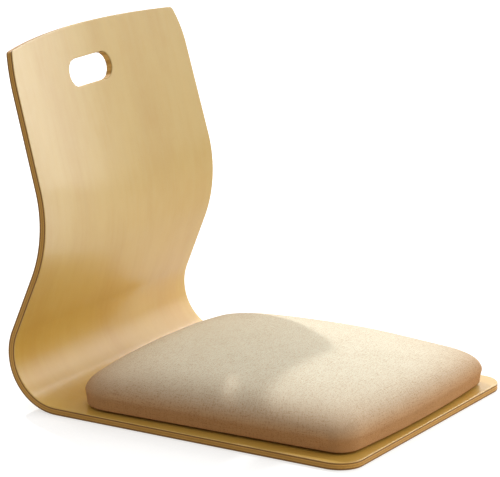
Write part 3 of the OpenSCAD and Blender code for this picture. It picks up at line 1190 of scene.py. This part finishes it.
@dataclass(frozen=True)
class PadForm:
    """Sizes and formulas of the seat pad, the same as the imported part's."""

    shell: ShellForm
    front_margin: float = 0.008
    front_bow: float = 0.009
    rear_margin: float = 0.018
    front_side_margin: float = 0.023
    rear_side_margin: float = 0.013
    front_corner_r: float = 0.024
    rear_corner_r: float = 0.041
    side_h: float = 0.017
    rise: float = 0.047
    crown_across: float = 0.021
    crown_along: float = 0.017
    side_swell: float = 0.0015
    fullness: float = 12.0
    cover_t: float = 0.001
    hem_w: float = 0.024
    board_t: float = 0.005
    slip: float = 0.00005
    under_cloth_t: float = 0.0004
    under_cloth_inset: float = 0.010
    hook_t: float = 0.0008
    loop_t: float = 0.0008
    strip_len: float = 0.090
    strip_w: float = 0.025
    strip_inset: float = 0.058
    rest_gap: float = 0.0003
    staple_w: float = 0.010
    staple_wire: float = 0.0005
    cover_leg: float = 0.0045
    cloth_leg: float = 0.006
    cover_staple_inset: float = 0.017
    cloth_staple_inset: float = 0.003
    crowding: float = 0.5  # how much closer together the border's points stand at the corners
    arc_points: int = 17

    @property
    def loop_z(self) -> float:
        """Returns the height of the loop strips' lower face."""
        return self.shell.thickness + self.hook_t + self.rest_gap

    @property
    def cloth_z(self) -> float:
        """Returns the height of the under cloth's lower face."""
        return self.loop_z + self.loop_t

    @property
    def hem_z(self) -> float:
        """Returns the height of the pad's lower edge."""
        return self.cloth_z + self.under_cloth_t + self.staple_wire + 2 * self.slip

    @property
    def foam_z(self) -> float:
        """Returns the height of the foam's underside."""
        return self.hem_z + self.cover_t + self.board_t + 2 * self.slip

    @property
    def side_top_z(self) -> float:
        """Returns the height at which the rounded shoulder starts."""
        return self.hem_z + self.side_h

    @property
    def y0(self) -> float:
        """Returns the place of the pad's front."""
        return self.shell.y_front + self.front_margin

    @property
    def length(self) -> float:
        """Returns the pad's length from front to rear."""
        return self.shell.seat_run - self.front_margin - self.rear_margin

    @property
    def front_half(self) -> float:
        """Returns half of the pad's width at its front."""
        width = self.shell.half_width(np.array([self.front_margin]))[0]
        return float(width) - self.front_side_margin

    @property
    def rear_half(self) -> float:
        """Returns half of the pad's width at its rear."""
        width = self.shell.half_width(np.array([self.shell.seat_run - self.rear_margin]))[0]
        return float(width) - self.rear_side_margin

    @property
    def middle(self) -> np.ndarray:
        """Returns the middle of the pad's plan."""
        return np.array([0.0, self.y0 + self.length / 2.0])

    def border(self, per_side: int) -> tuple[np.ndarray, np.ndarray]:
        """Draws the pad's plan as a closed line that starts in the middle of a front corner.

        Args:
            per_side: Points on each of the four sides, each from mid corner to mid corner.

        Returns:
            The points [x, y] and the directions in which they are drawn out or in.
        """
        fr, rr = self.front_corner_r, self.rear_corner_r
        front, rear = self.front_half, self.rear_half
        y0, y1 = self.y0, self.y0 + self.length
        corners = [
            (-front + fr, y0 + fr, fr, 180.0),
            (front - fr, y0 + fr, fr, 270.0),
            (rear - rr, y1 - rr, rr, 0.0),
            (-rear + rr, y1 - rr, rr, 90.0),
        ]

        def arc(corner: tuple[float, float, float, float], low: float, high: float) -> list:
            """Returns points and directions along part of a corner, between shares of its turn."""
            x, y, r, start = corner
            turns = np.radians(start + 90.0 * np.linspace(low, high, self.arc_points))
            out = np.stack([np.cos(turns), np.sin(turns)], 1)
            return [np.array([x, y]) + r * out, out]

        points, ways = [], []
        for k, corner in enumerate(corners):
            first, first_way = arc(corner, 0.5, 1.0)
            last, last_way = arc(corners[(k + 1) % 4], 0.0, 0.5)
            line = np.concatenate([first, last])
            way = np.concatenate([first_way, last_way])
            run = np.concatenate([[0.0], np.cumsum(np.linalg.norm(np.diff(line, axis=0), axis=1))])
            share = np.linspace(0.0, 1.0, per_side + 1)[:-1]
            whole = 2.0 * math.pi
            at = run[-1] * (share - self.crowding * np.sin(whole * share) / whole)
            points.append(np.stack([np.interp(at, run, line[:, i]) for i in (0, 1)], 1))
            ways.append(np.stack([np.interp(at, run, way[:, i]) for i in (0, 1)], 1))
        directions = np.concatenate(ways)
        return np.concatenate(points), directions / np.linalg.norm(directions, axis=1)[:, None]

    def bowed(self, plan: np.ndarray) -> np.ndarray:
        """Moves points [x, y] back by the curve of the front edge, and returns them."""
        fade = np.clip(2.0 * (self.middle[1] - plan[:, 1]) / self.length, 0.0, 1.0)
        back = self.front_bow * (plan[:, 0] / self.front_half) ** 2 * fade
        return np.column_stack([plan[:, 0], plan[:, 1] + back])

    def top_rise(self, plan: np.ndarray) -> np.ndarray:
        """Returns the rise of the domed top over points [x, y] of the plan."""
        half = self.front_half + (self.rear_half - self.front_half) * (
            (plan[:, 1] - self.y0) / self.length
        )
        u = plan[:, 0] / half
        v = 2.0 * (plan[:, 1] - self.middle[1]) / self.length
        return (self.rise - self.crown_across * u * u) * (1.0 - self.crown_along / self.rise * v * v)

    def top_height(self, plan: np.ndarray, share: np.ndarray, drop: float) -> np.ndarray:
        """Finds the height of the top.

        Args:
            plan: Points [x, y].
            share: Each point's share of the way from the middle to the border.
            drop: How far the surface lies inside the cover's outer face.

        Returns:
            The heights.
        """
        full = np.sqrt(np.clip(1.0 - share**self.fullness, 0.0, 1.0))
        return self.side_top_z + (self.top_rise(plan) - drop) * full

    def staples(self, inset: float, along_side: int) -> list[tuple[float, float, float]]:
        """Sets out a row of staples along each side.

        Args:
            inset: Their distance from the pad's edge.
            along_side: How many stand along each side.

        Returns:
            Each staple's x, y and turn about the vertical.
        """
        side_x = (self.front_half + self.rear_half) / 2.0 - inset
        lean = math.atan((self.rear_half - self.front_half) / self.length)
        corner_r = max(self.front_corner_r, self.rear_corner_r)
        reach = self.length - 2.0 * (corner_r + inset)
        middle = self.middle[1]
        places = []
        for i in range(along_side):
            share = i / (along_side - 1) - 0.5
            for side in (-1.0, 1.0):
                turn = -side * lean
                x = side * side_x - share * reach * math.sin(turn)
                places.append((x, middle + share * reach * math.cos(turn), turn + math.pi / 2))
            across = 2.0 * (self.front_half - corner_r - inset)
            front = self.bowed(np.array([[share * across, self.y0 + inset]]))[0]
            places.append((front[0], front[1], 0.0))
            across = 2.0 * (self.rear_half - corner_r - inset)
            places.append((share * across, self.y0 + self.length - inset, 0.0))
        return places


CLOTH_FEEL = {
    "mass": 0.25,
    "tension_stiffness": 22.0,
    "compression_stiffness": 18.0,
    "shear_stiffness": 8.0,
    "bending_stiffness": 1.2,
}


@dataclass
class SeatPad:
    """The seat pad: cloth over foam on a board, closed below and held by fastening strips."""

    form: PadForm
    body: str = "pad"
    grid: int = 40  # squares across the top of the cover
    top_share: float = 0.80  # the part of the plan that the square grid covers
    shoulder_steps: int = 15
    wall_steps: int = 8
    edge_r: float = 0.0014  # radius of the fold at the lower edge
    edge_steps: int = 3
    hem_shares: tuple[float, ...] = (0.12, 0.3, 0.5, 0.7, 0.88, 1.0)  # rows across the hem
    start_smaller: float = 0.0006  # how far inside the designed form the cloth starts
    filling_gap: float = 0.0006  # how far inside the cloth's start its filling lies
    held_off: float = 0.0003  # thickness of the filling's skin
    cloth_off: float = 0.0004  # the cloth's least distance from that skin
    held_h: float = 0.003  # height of the wall above the hem that the staples hold
    free_h: float = 0.012  # height over which the cloth comes free above that
    least_move: float = 0.0004
    most_move: float = 0.0026
    most_slide: float = 0.0010
    slide_share: float = 0.5
    stapled_lift: float = 0.02  # the points that are less free than this are held
    evening_rounds: int = 12
    cloth_frames: int = 14
    cloth_quality: int = 7
    pressure: float = 2.0
    foam_gap: float = 0.0006
    foam_ring: float = 0.02  # width of the rings of the foam's underside
    ridge: float = 0.0008  # how far the ridge between the sides and the top stands out
    ridge_reach: float = 0.0026
    wave_h: float = 0.00025  # height of the soft waves in the cloth
    wave_turn: tuple[float, float] = (41.0, 33.0)  # in radians per metre, across and along
    wave_bend: tuple[float, float] = (17.0, 1.3)  # how the waves wander, per metre and by how much
    wave_shift: float = 0.9
    wave_from: float = 0.004  # height above the hem at which the waves start
    wave_rise: float = 0.02  # height over which they grow
    ripple_turn: tuple[float, float] = (83.0, 29.0)
    ripple_share: float = 0.5
    sheet_shares: tuple[float, ...] = (
        1.0, 0.985, 0.97, 0.965, 0.93, 0.86, 0.74, 0.6, 0.45, 0.3, 0.15,
    )  # rings of the cloth below, as shares of its plan
    fold_share: float = 0.97  # its edge is folded in from here outwards
    fold_drop: float = 0.15  # how much lower the fold lies, as a share of the cloth's thickness
    pucker: float = 0.10  # the puckers between its staples, as a share of the same
    puckers: float = 6.0  # puckers along each side
    pucker_share: float = 0.9
    tape_share: float = 0.45  # the part of a strip's thickness that is its woven tape
    selvedge: tuple[float, float] = (0.0012, 0.0016)  # where the pile starts, low and high
    strip_corner_r: float = 0.004
    strip_corner_steps: int = 6
    cover_staples_along: int = 7  # on each side of the pad
    cloth_staples_along: int = 6
    wire_bend: float = 0.9  # radius of the staples' bends, in thicknesses of their wire
    wire_steps: int = 4
    wire_sides: int = 8

    def rings(self, inset: float, low: float) -> list[tuple[float, float, float]]:
        """Steps down the pad's section from the square grid's border to its lower edge.

        Args:
            inset: How far the form is drawn in from the cover's outer face.
            low: The height at which its walls end.

        Returns:
            Each ring's share of the plan, inset, and height, which is negative on the dome.
        """
        f = self.form
        start = math.asin(self.top_share ** (f.fullness / 2.0))
        steps = []
        for turn in np.linspace(start, math.pi / 2, self.shoulder_steps + 1)[1:]:
            steps.append((math.sin(turn) ** (2.0 / f.fullness), inset - f.side_swell, -1.0))
        steps[-1] = (1.0, inset - f.side_swell, f.side_top_z)
        for k in range(1, self.wall_steps + 1):
            share = 1.0 - k / self.wall_steps
            swell = f.side_swell * math.sin(math.pi / 2 * share)
            steps.append((1.0, inset - swell, low + (f.side_top_z - low) * share))
        return steps

    def top_grid(self, outer: np.ndarray) -> tuple[np.ndarray, np.ndarray, list[int]]:
        """Sets out the square grid of the pad's top.

        Args:
            outer: The closed line that the grid's squares follow, drawn smaller.

        Returns:
            Its points [x, y], each one's share of the way out, and the numbers of those on its
            border in the line's order.
        """
        n, middle = self.grid, self.form.middle
        half = n // 2
        steps = np.arange(-half, half + 1)
        cols, rows = (a.ravel() for a in np.meshgrid(steps, steps))
        ring = np.maximum(np.abs(cols), np.abs(rows))
        safe = np.maximum(ring, 1)
        a, b = cols / safe, rows / safe
        side = np.select([b <= -1, a >= 1, b >= 1], [0, 1, 2], 3)
        along = np.choose(side, [(a + 1) / 2, (b + 1) / 2, (1 - a) / 2, (1 - b) / 2])
        at = (side + along) * n % (4 * n)
        lower = np.floor(at).astype(int) % (4 * n)
        part = (at - np.floor(at))[:, None]
        rim = outer[lower] * (1 - part) + outer[(lower + 1) % (4 * n)] * part
        share = self.top_share * ring / half
        plan = middle + (rim - middle) * share[:, None]
        order = {int(round(at[k])) % (4 * n): int(k) for k in np.flatnonzero(ring == half)}
        return plan, share, [order[k] for k in range(4 * n)]

    def hull(
        self, inset: float, drop: float, low: float, underside: Sequence[tuple[float, float]]
    ) -> tuple[np.ndarray, list[list[int]], np.ndarray]:
        """Builds the pad's skin as a square grid on top with rings round it.

        Args:
            inset: How far the form is drawn in from the cover's outer face.
            drop: How far its top lies below the cover's outer face.
            low: The height at which its walls end.
            underside: Insets and heights of the rings that follow below.

        Returns:
            The points, the faces, and each point's place on the unrolled cloth.
        """
        f, n = self.form, self.grid
        border, ways = f.border(n)
        plan, share, previous = self.top_grid(f.bowed(border - ways * (inset - f.side_swell)))
        points = [np.column_stack([plan, f.top_height(plan, share, drop)])]
        faces = []
        for start in range(0, n * (n + 1), n + 1):
            faces += [[k, k + 1, k + n + 2, k + n + 1] for k in range(start, start + n)]
        unrolled = [plan]
        last = points[0][previous]
        spread = np.zeros(4 * n)
        count = len(points[0])
        base = plan[previous]
        steps = [*self.rings(inset, low), *((1.0, i, z) for i, z in underside)]
        for size, drawn_in, z in steps:
            plan = f.middle + (f.bowed(border - ways * drawn_in) - f.middle) * size
            height = np.full(4 * n, z)
            if z < 0:
                height = f.top_height(plan, np.full(4 * n, size), drop)
            ring_points = np.column_stack([plan, height])
            spread = spread + np.linalg.norm(ring_points - last, axis=1)
            unrolled.append(base + ways * spread[:, None])
            points.append(ring_points)
            last = ring_points
            current = list(range(count, count + 4 * n))
            count += 4 * n
            for k in range(4 * n):
                m = (k + 1) % (4 * n)
                faces.append([previous[k], current[k], current[m], previous[m]])
            previous = current
        places = np.concatenate(unrolled)
        return np.concatenate(points), faces, np.column_stack([places, np.zeros(len(places))])

    def cover(self) -> bpy.types.Object:
        """Makes the cover: its cloth swells over the foam in a simulation.

        Returns:
            The cover.
        """
        f = self.form
        r = self.edge_r
        turns = np.linspace(0.0, math.pi / 2, self.edge_steps + 1)[1:]
        fold = [(r * (1 - math.cos(t)), f.hem_z + r * (1 - math.sin(t))) for t in turns]
        hem = [(f.hem_w * share, f.hem_z) for share in self.hem_shares]
        points, faces, places = self.hull(0.0, 0.0, f.hem_z + r, [*fold, *hem])
        piece = new_piece("pad_cover", points, faces, sharp_over=180.0)
        keep_places(piece, CLOTH_PLACE, places)
        under = len(points) - 4 * self.grid * (len(fold) + len(hem) + 1)
        self.swell(piece, under)
        self.relax(piece, under)
        thick = piece.modifiers.new("cloth_thickness", "SOLIDIFY")
        thick.thickness, thick.offset = f.cover_t, -1.0
        piece.modifiers.new("fineness", "SUBSURF").render_levels = 1
        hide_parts("seat_cover")
        return piece

    def swell(self, piece: bpy.types.Object, under: int) -> None:
        """Lets the cloth swell under pressure round its filling, and caps its moves.

        Args:
            piece: The cover.
            under: The first point of the fold and hem, which stay where they are stapled.
        """
        mesh = piece.data
        designed = rows_of(mesh.vertices, "co")
        normals = rows_of(mesh.vertex_normals, "vector")
        free = np.zeros(len(designed))
        free[:under] = 1.0
        above = designed[:, 2] - self.form.hem_z - self.held_h
        lift = smooth_share(above / self.free_h) * free
        start = designed - normals * (self.start_smaller * lift)[:, None]
        mesh.vertices.foreach_set("co", start.ravel())
        move = self.simulated(piece, lift < self.stapled_lift) - start
        out = (move * normals).sum(1)
        log.info(
            "cloth moved out by %.2f to %.2f mm, %.2f mm on average",
            out.min() * 1e3, out.max() * 1e3, out[:under].mean() * 1e3,
        )
        capped = np.clip(out, self.least_move, self.most_move)[:, None]
        sideways = (move - normals * out[:, None]) * self.slide_share
        slid = np.linalg.norm(sideways, axis=1)[:, None]
        sideways *= np.minimum(1.0, self.most_slide / np.maximum(slid, self.most_slide * 1e-3))
        eased = self.evened(mesh, np.column_stack([capped, sideways]))
        final = start + (normals * eased[:, :1] + eased[:, 1:]) * lift[:, None]
        mesh.vertices.foreach_set("co", final.ravel())
        mesh.update()
        bpy.context.scene.frame_set(1)

    def simulated(self, piece: bpy.types.Object, stapled: np.ndarray) -> np.ndarray:
        """Simulates the cloth, which pressure lifts off its filling.

        Args:
            piece: The cover at its start.
            stapled: For each point, whether it stays where it is.

        Returns:
            The points where the cloth ends up.
        """
        held = piece.vertex_groups.new(name="stapled")
        held.add([int(k) for k in np.flatnonzero(stapled)], 1.0, "REPLACE")
        cloth = piece.modifiers.new("cloth", "CLOTH")
        cloth.settings.vertex_group_mass = held.name
        cloth.settings.quality = self.cloth_quality
        for name, value in CLOTH_FEEL.items():
            setattr(cloth.settings, name, value)
        cloth.settings.use_pressure = True
        cloth.settings.uniform_pressure_force = self.pressure
        cloth.settings.effector_weights.gravity = 0.0
        cloth.collision_settings.distance_min = self.cloth_off
        filling = self.filling()
        scene = bpy.context.scene
        cloth.point_cache.frame_start, cloth.point_cache.frame_end = 1, self.cloth_frames
        for number in range(1, self.cloth_frames + 1):
            scene.frame_set(number)
        settled = piece.evaluated_get(bpy.context.evaluated_depsgraph_get()).to_mesh()
        swollen = rows_of(settled.vertices, "co")
        piece.modifiers.remove(cloth)
        bpy.data.objects.remove(filling)
        piece.vertex_groups.clear()
        return swollen

    def filling(self) -> bpy.types.Object:
        """Makes the firm filling that the cloth lies on while it swells.

        Returns:
            The filling, which is removed afterwards.
        """
        inset = self.start_smaller + self.filling_gap
        points, faces, _ = self.hull(inset, inset, self.form.foam_z, [])
        filling = new_piece("filling", points, faces, sharp_over=180.0)
        filling.modifiers.new("firm", "COLLISION")
        filling.collision.thickness_outer = self.held_off
        return filling

    def evened(self, mesh: bpy.types.Mesh, moves: np.ndarray) -> np.ndarray:
        """Evens out the moves of a mesh's points over their neighbours.

        Args:
            mesh: The mesh.
            moves: One row for each point.

        Returns:
            The evened moves.
        """
        ends = np.empty(len(mesh.edges) * 2, dtype=np.int32)
        mesh.edges.foreach_get("vertices", ends)
        first, second = ends.reshape(-1, 2).T
        degree = np.bincount(ends, minlength=len(moves))[:, None]
        for _ in range(self.evening_rounds):
            total = np.zeros_like(moves)
            np.add.at(total, first, moves[second])
            np.add.at(total, second, moves[first])
            moves = 0.5 * moves + 0.5 * total / degree
        return moves

    def relax(self, piece: bpy.types.Object, under: int) -> None:
        """Adds the soft ridge above the sides, and the waves that the foam leaves in the cloth.

        Args:
            piece: The cover.
            under: The first point of the fold and hem, which stay straight.
        """
        mesh = piece.data
        points = rows_of(mesh.vertices, "co")
        normals = rows_of(mesh.vertex_normals, "vector")
        x, y = points[:, 0], points[:, 1]
        turn, by = self.wave_bend
        waves = np.sin(x * self.wave_turn[0] + by * np.sin(y * turn))
        waves *= np.sin(y * self.wave_turn[1] + self.wave_shift)
        ripples = np.sin(x * self.ripple_turn[0] - y * self.ripple_turn[1])
        above = points[:, 2] - self.form.hem_z - self.wave_from
        size = self.wave_h * smooth_share(above / self.wave_rise)
        from_ridge = (points[:, 2] - self.form.side_top_z) / self.ridge_reach
        ridge = self.ridge * np.exp(-(from_ridge**2))
        size[under:] = 0.0
        ridge[under:] = 0.0
        waves += self.ripple_share * ripples
        points += normals * (waves * size + ridge)[:, None]
        mesh.vertices.foreach_set("co", points.ravel())
        mesh.update()

    def foam(self) -> bpy.types.Object:
        """Makes the foam, which fills the cover above the board.

        Returns:
            The foam.
        """
        f = self.form
        inset = f.cover_t + self.foam_gap
        underside = [(inset + self.foam_ring * k, f.foam_z) for k in (1, 2)]
        points, faces, _ = self.hull(inset, inset, f.foam_z, underside)
        last = len(points) - 4 * self.grid
        faces.append([last + k for k in range(4 * self.grid)])
        piece = new_piece("pad_foam", points, faces, sharp_over=50.0)
        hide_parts("foam_core")
        return piece

    def under_cloth(self) -> bpy.types.Object:
        """Makes the cloth that is stretched under the board between its staples.

        Returns:
            The cloth.
        """
        f, n = self.form, self.grid
        border, ways = f.border(n)
        outer = f.bowed(border - ways * f.under_cloth_inset)
        shares = self.sheet_shares
        points, faces = [], []
        level, whole = f.cloth_z + f.under_cloth_t / 2.0, 2.0 * math.pi
        for k, share in enumerate(shares):
            plan = f.middle + (outer - f.middle) * share
            folded = self.fold_drop if share >= self.fold_share else 0.0
            ripple = self.pucker * np.sin(np.arange(4 * n) * (whole * self.puckers / n))
            height = level - f.under_cloth_t * (folded + ripple * (share > self.pucker_share))
            points.append(np.column_stack([plan, height]))
            if k:
                faces += ring_band(k * 4 * n, (k - 1) * 4 * n, 4 * n)
        last = (len(shares) - 1) * 4 * n
        points.append(np.array([[*f.middle, level]]))
        centre = last + 4 * n
        faces += [[last + (m + 1) % (4 * n), last + m, centre] for m in range(4 * n)]
        piece = new_piece("pad_under_cloth", np.concatenate(points), faces, sharp_over=60.0)
        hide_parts("under_cloth")
        return piece

    def strips(self, node: str, z: float, thickness: float) -> bpy.types.Object:
        """Makes the four strips of one half of the fastening, with a raised field on each.

        Args:
            node: The node that they replace.
            z: The height of their lower face.
            thickness: Their thickness.

        Returns:
            The strips.
        """
        f = self.form
        field_up = node == "hook_strips"
        half_l, half_w, r = f.strip_len / 2.0, f.strip_w / 2.0, self.strip_corner_r
        turns = np.linspace(0.0, math.pi / 2, self.strip_corner_steps + 1)
        corner = np.stack([np.cos(turns), np.sin(turns)], 1)
        loop = []
        for k, (sx, sy) in enumerate([(1, 1), (-1, 1), (-1, -1), (1, -1)]):
            way = np.array([[math.cos(k * math.pi / 2), math.sin(k * math.pi / 2)],
                            [-math.sin(k * math.pi / 2), math.cos(k * math.pi / 2)]])
            loop.append(np.array([sx * (half_l - r), sy * (half_w - r)]) + r * corner @ way)
        ring = np.concatenate(loop)
        tape, (near, far) = self.tape_share, self.selvedge
        if field_up:
            steps = [(0.0, 0.0), (0.0, tape), (near, tape), (far, 1.0)]
        else:
            steps = [(far, 0.0), (near, 1.0 - tape), (0.0, 1.0 - tape), (0.0, 1.0)]
        places = []
        for half, y in (
            (f.front_half, f.y0 + f.strip_inset),
            (f.rear_half, f.y0 + f.length - f.strip_inset),
        ):
            places += [(side * (half - f.strip_inset - half_w), y) for side in (-1.0, 1.0)]
        points, faces = [], []
        count = len(ring)
        for px, py in places:
            start = sum(len(p) for p in points)
            for inset, level in steps:
                scale = 1.0 - inset / np.array([half_l, half_w])
                flat = ring * scale + np.array([px, py])
                points.append(np.column_stack([flat, np.full(count, z + thickness * level)]))
            for k in range(len(steps) - 1):
                faces += ring_band(start + k * count, start + (k + 1) * count, count)
            faces.append([start + count - 1 - m for m in range(count)])
            top = start + (len(steps) - 1) * count
            faces.append([top + m for m in range(count)])
        owner = "seat" if field_up else "pad"
        piece = new_piece(f"{owner}_{node}", np.concatenate(points), faces, sharp_over=30.0)
        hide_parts(node)
        return piece

    def wire(self, node: str, inset: float, z: float, leg: float, along: int) -> bpy.types.Object:
        """Makes bent wire staples.

        Args:
            node: The node that they replace.
            inset: Their distance from the pad's edge.
            z: The height at which their crowns touch the cloth.
            leg: The length of their legs.
            along: How many stand along each side.

        Returns:
            The staples.
        """
        f = self.form
        r, bend = f.staple_wire / 2.0, f.staple_wire * self.wire_bend
        half = f.staple_w / 2.0 - r
        turns = np.linspace(0.0, math.pi / 2, self.wire_steps + 1)
        left = [(-half, leg), (-half, -r + bend)]
        left += [(-half + bend * (1 - math.cos(t)), -r + bend * (1 - math.sin(t))) for t in turns[1:]]
        line = np.array([*left, *[(-x, y) for x, y in reversed(left)]])
        ways = np.gradient(line, axis=0)
        ways /= np.linalg.norm(ways, axis=1)[:, None]
        sides = self.wire_sides
        around = np.arange(sides) * (2.0 * math.pi / sides) + math.pi / sides
        points, faces = [], []
        for x, y, turn in f.staples(inset, along):
            start = len(points)
            spin = np.array([math.cos(turn), math.sin(turn)])
            for (lx, lz), (wx, wz) in zip(line, ways):
                for angle in around:
                    out = r * math.cos(angle)
                    px, pz = lx - wz * out, lz + wx * out
                    py = r * math.sin(angle)
                    points.append(
                        (x + spin[0] * px - spin[1] * py, y + spin[1] * px + spin[0] * py, z + pz)
                    )
            for k in range(len(line) - 1):
                faces += ring_band(start + (k + 1) * sides, start + k * sides, sides)
            faces.append([start + m for m in range(sides)])
            end = start + (len(line) - 1) * sides
            faces.append([end + sides - 1 - m for m in range(sides)])
        piece = new_piece(f"pad_{node}", np.array(points), faces, sharp_over=40.0)
        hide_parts(node)
        return piece

    def build(self) -> dict[str, bpy.types.Object]:
        """Builds the pad's pieces.

        Returns:
            Each piece by the name of its node.
        """
        f = self.form
        return {
            "seat_cover": self.cover(),
            "foam_core": self.foam(),
            "under_cloth": self.under_cloth(),
            "hook_strips": self.strips("hook_strips", f.shell.thickness, f.hook_t),
            "loop_strips": self.strips("loop_strips", f.loop_z, f.loop_t),
            "cover_staples": self.wire(
                "cover_staples", f.cover_staple_inset, f.hem_z, f.cover_leg,
                self.cover_staples_along,
            ),
            "cloth_staples": self.wire(
                "cloth_staples", f.under_cloth_inset + f.cloth_staple_inset, f.cloth_z,
                f.cloth_leg, self.cloth_staples_along,
            ),
        }

    def dress(self, pieces: dict[str, bpy.types.Object], board: bpy.types.Object) -> None:
        """Gives each piece its finish, its slot and its body.

        Args:
            pieces: The pieces by node.
            board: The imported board, which stays.
        """
        f = self.form
        wire = WireFinish().material()
        dresses = {
            "seat_cover": ("cover_fabric", CoverFinish("cover_fabric").material()),
            "foam_core": ("foam", FoamFinish().material()),
            "under_cloth": ("under_cloth", NonWovenFinish().material()),
            "hook_strips": (
                "hook_tape",
                TapeFinish(
                    "hook_tape", (0.74, 0.62, 0.44), (0.50, 0.40, 0.27), 0.0016, 0.25
                ).material(),
            ),
            "loop_strips": (
                "loop_tape",
                TapeFinish(
                    "loop_tape", (0.62, 0.50, 0.34), (0.42, 0.32, 0.21), 0.0024, 0.7
                ).material(),
            ),
            "cover_staples": ("staple_wire", wire),
            "cloth_staples": ("staple_wire", wire),
        }
        for node, piece in pieces.items():
            slot, material = dresses[node]
            dress_piece(piece, material, slot, "shell" if node == "hook_strips" else self.body)
        board.data.materials.clear()
        board.data.materials.append(BoardFinish().material())
        border, ways = f.border(self.grid)
        edge = f.bowed(border - ways * f.under_cloth_inset)


# The studio


@dataclass(frozen=True)
class SoftLamp:
    """A square lamp that faces the chair."""

    name: str
    place: Colour
    size: float
    power: float
    colour: Colour
    aim: Colour = (0.0, 0.0, 0.12)

    def hang(self) -> None:
        """Hangs the lamp."""
        data = bpy.data.lights.new(self.name, "AREA")
        data.size, data.energy, data.color = self.size, self.power, self.colour
        lamp = bpy.data.objects.new(self.name, data)
        lamp.location = self.place
        way = Vector(self.aim) - Vector(self.place)
        lamp.rotation_euler = way.to_track_quat("-Z", "Y").to_euler()
        bpy.context.scene.collection.objects.link(lamp)


@dataclass
class Studio:
    """The floor, the light and the camera."""

    azimuth: float = math.radians(-59.276)
    elevation: float = math.radians(14.442)
    roll: float = math.radians(0.421)
    distance: float = 3.749
    focal_px: float = 3146.579
    target: Colour = (0.0, 0.0, 0.15)
    target_px: tuple[float, float] = (248.452, 273.984)
    image_px: tuple[float, float] = (500.0, 477.0)
    sensor: float = 0.036
    sky: float = 0.52
    floor_paint: float = 0.58
    floor_glow: float = 0.60
    speckle_scale: float = 40.0
    speckle: float = 0.02
    floor_half: float = 30.0
    floor_z: float = -0.0004
    sky_colour: Colour = (1.0, 0.98, 0.95)
    lamps: tuple[SoftLamp, ...] = (
        SoftLamp("front", (1.2, -1.6, 1.4), 1.3, 13.0, (1.0, 1.0, 0.99)),
        SoftLamp("side", (2.2, -0.55, 0.85), 1.3, 12.0, (1.0, 1.0, 0.99)),
        SoftLamp("right", (2.0, 0.4, 1.5), 1.0, 16.0, (1.0, 1.0, 0.99)),
        SoftLamp("low", (0.3, -2.4, 0.5), 1.2, 14.0, (1.0, 1.0, 0.99)),
        SoftLamp("rear", (1.358, 2.499, 2.793), 0.11, 76.0, (0.99, 0.99, 1.0)),
    )

    def camera(self) -> None:
        """Makes the camera at the photograph's viewing angle."""
        az, el = self.azimuth, self.elevation
        back = np.array(
            [math.sin(az) * math.cos(el), -math.cos(az) * math.cos(el), math.sin(el)]
        )
        right = np.array([math.cos(az), math.sin(az), 0.0])
        up = np.cross(back, right)
        c, s = math.cos(self.roll), math.sin(self.roll)
        right, up = c * right + s * up, -s * right + c * up
        per_px = self.distance / self.focal_px
        across = (self.target_px[0] - self.image_px[0] / 2.0) * per_px
        down = (self.target_px[1] - self.image_px[1] / 2.0) * per_px
        place = np.array(self.target) - across * right + down * up + self.distance * back
        data = bpy.data.cameras.new("camera")
        data.sensor_fit = "HORIZONTAL"
        data.sensor_width = self.sensor * 1000.0
        data.lens = self.focal_px * data.sensor_width / self.image_px[0]
        data.clip_end = self.floor_half * 2.0
        camera = bpy.data.objects.new("camera", data)
        turn = Matrix([[right[i], up[i], back[i]] for i in range(3)])
        camera.matrix_world = Matrix.Translation(Vector(place)) @ turn.to_4x4()
        bpy.context.scene.collection.objects.link(camera)
        bpy.context.scene.camera = camera

    def light(self) -> None:
        """Sets the lamps and a plain pale sky, which is white where the camera sees it."""
        for lamp in self.lamps:
            lamp.hang()
        world = bpy.data.worlds.new("sky")
        bpy.context.scene.world = world
        tree = FinishTree(world)
        plain, white = (
            tree.node("ShaderNodeBackground", {}, {"Color": (*colour, 1.0), "Strength": strength})
            for colour, strength in ((self.sky_colour, self.sky), ((1.0, 1.0, 1.0), 1.0))
        )
        either = tree.node(
            "ShaderNodeMixShader", {}, {0: tree.seen(), 1: plain.outputs[0], 2: white.outputs[0]}
        )
        tree.node("ShaderNodeOutputWorld", {}, {0: either.outputs[0]})

    def floor(self) -> None:
        """Lays the pale floor, which looks white and keeps the chair's shadow."""
        corners = ((-1, -1), (1, -1), (1, 1), (-1, 1))
        points = np.array([[x * self.floor_half, y * self.floor_half, self.floor_z]
                           for x, y in corners])
        floor = new_piece("floor", points, [[0, 1, 2, 3]], sharp_over=180.0)
        tree = FinishTree.of("floor")
        speckle = tree.noise(tree.object_place(), self.speckle_scale, 3.0)
        shades = (self.floor_paint - self.speckle, self.floor_paint + self.speckle)
        colour = tree.mix(speckle, *((shade,) * 3 for shade in shades))
        paint = tree.node("ShaderNodeBsdfDiffuse", {}, {"Color": colour})
        glow = tree.node("ShaderNodeEmission", {}, {"Strength": self.floor_glow})
        both = tree.node("ShaderNodeAddShader", {}, {0: paint.outputs[0], 1: glow.outputs[0]})
        either = tree.node(
            "ShaderNodeMixShader", {}, {0: tree.seen(), 1: paint.outputs[0], 2: both.outputs[0]}
        )
        tree.node("ShaderNodeOutputMaterial", {}, {0: either.outputs[0]})
        floor.data.materials.append(tree.owner)

    def build(self) -> None:
        """Sets up the studio."""
        self.camera()
        self.light()
        self.floor()
        bpy.context.scene.view_settings.view_transform = "Standard"


def main() -> None:
    """Builds and dresses the chair in its studio."""
    logging.basicConfig(level=logging.INFO, format="%(name)s: %(message)s")
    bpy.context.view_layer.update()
    Studio().build()
    form = ShellForm()
    shell = PlywoodShell(form)
    shell.dress(shell.build())
    pad = SeatPad(PadForm(form))
    pad.dress(pad.build(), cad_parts["pad_board"])


if __name__ == "__main__":
    main()
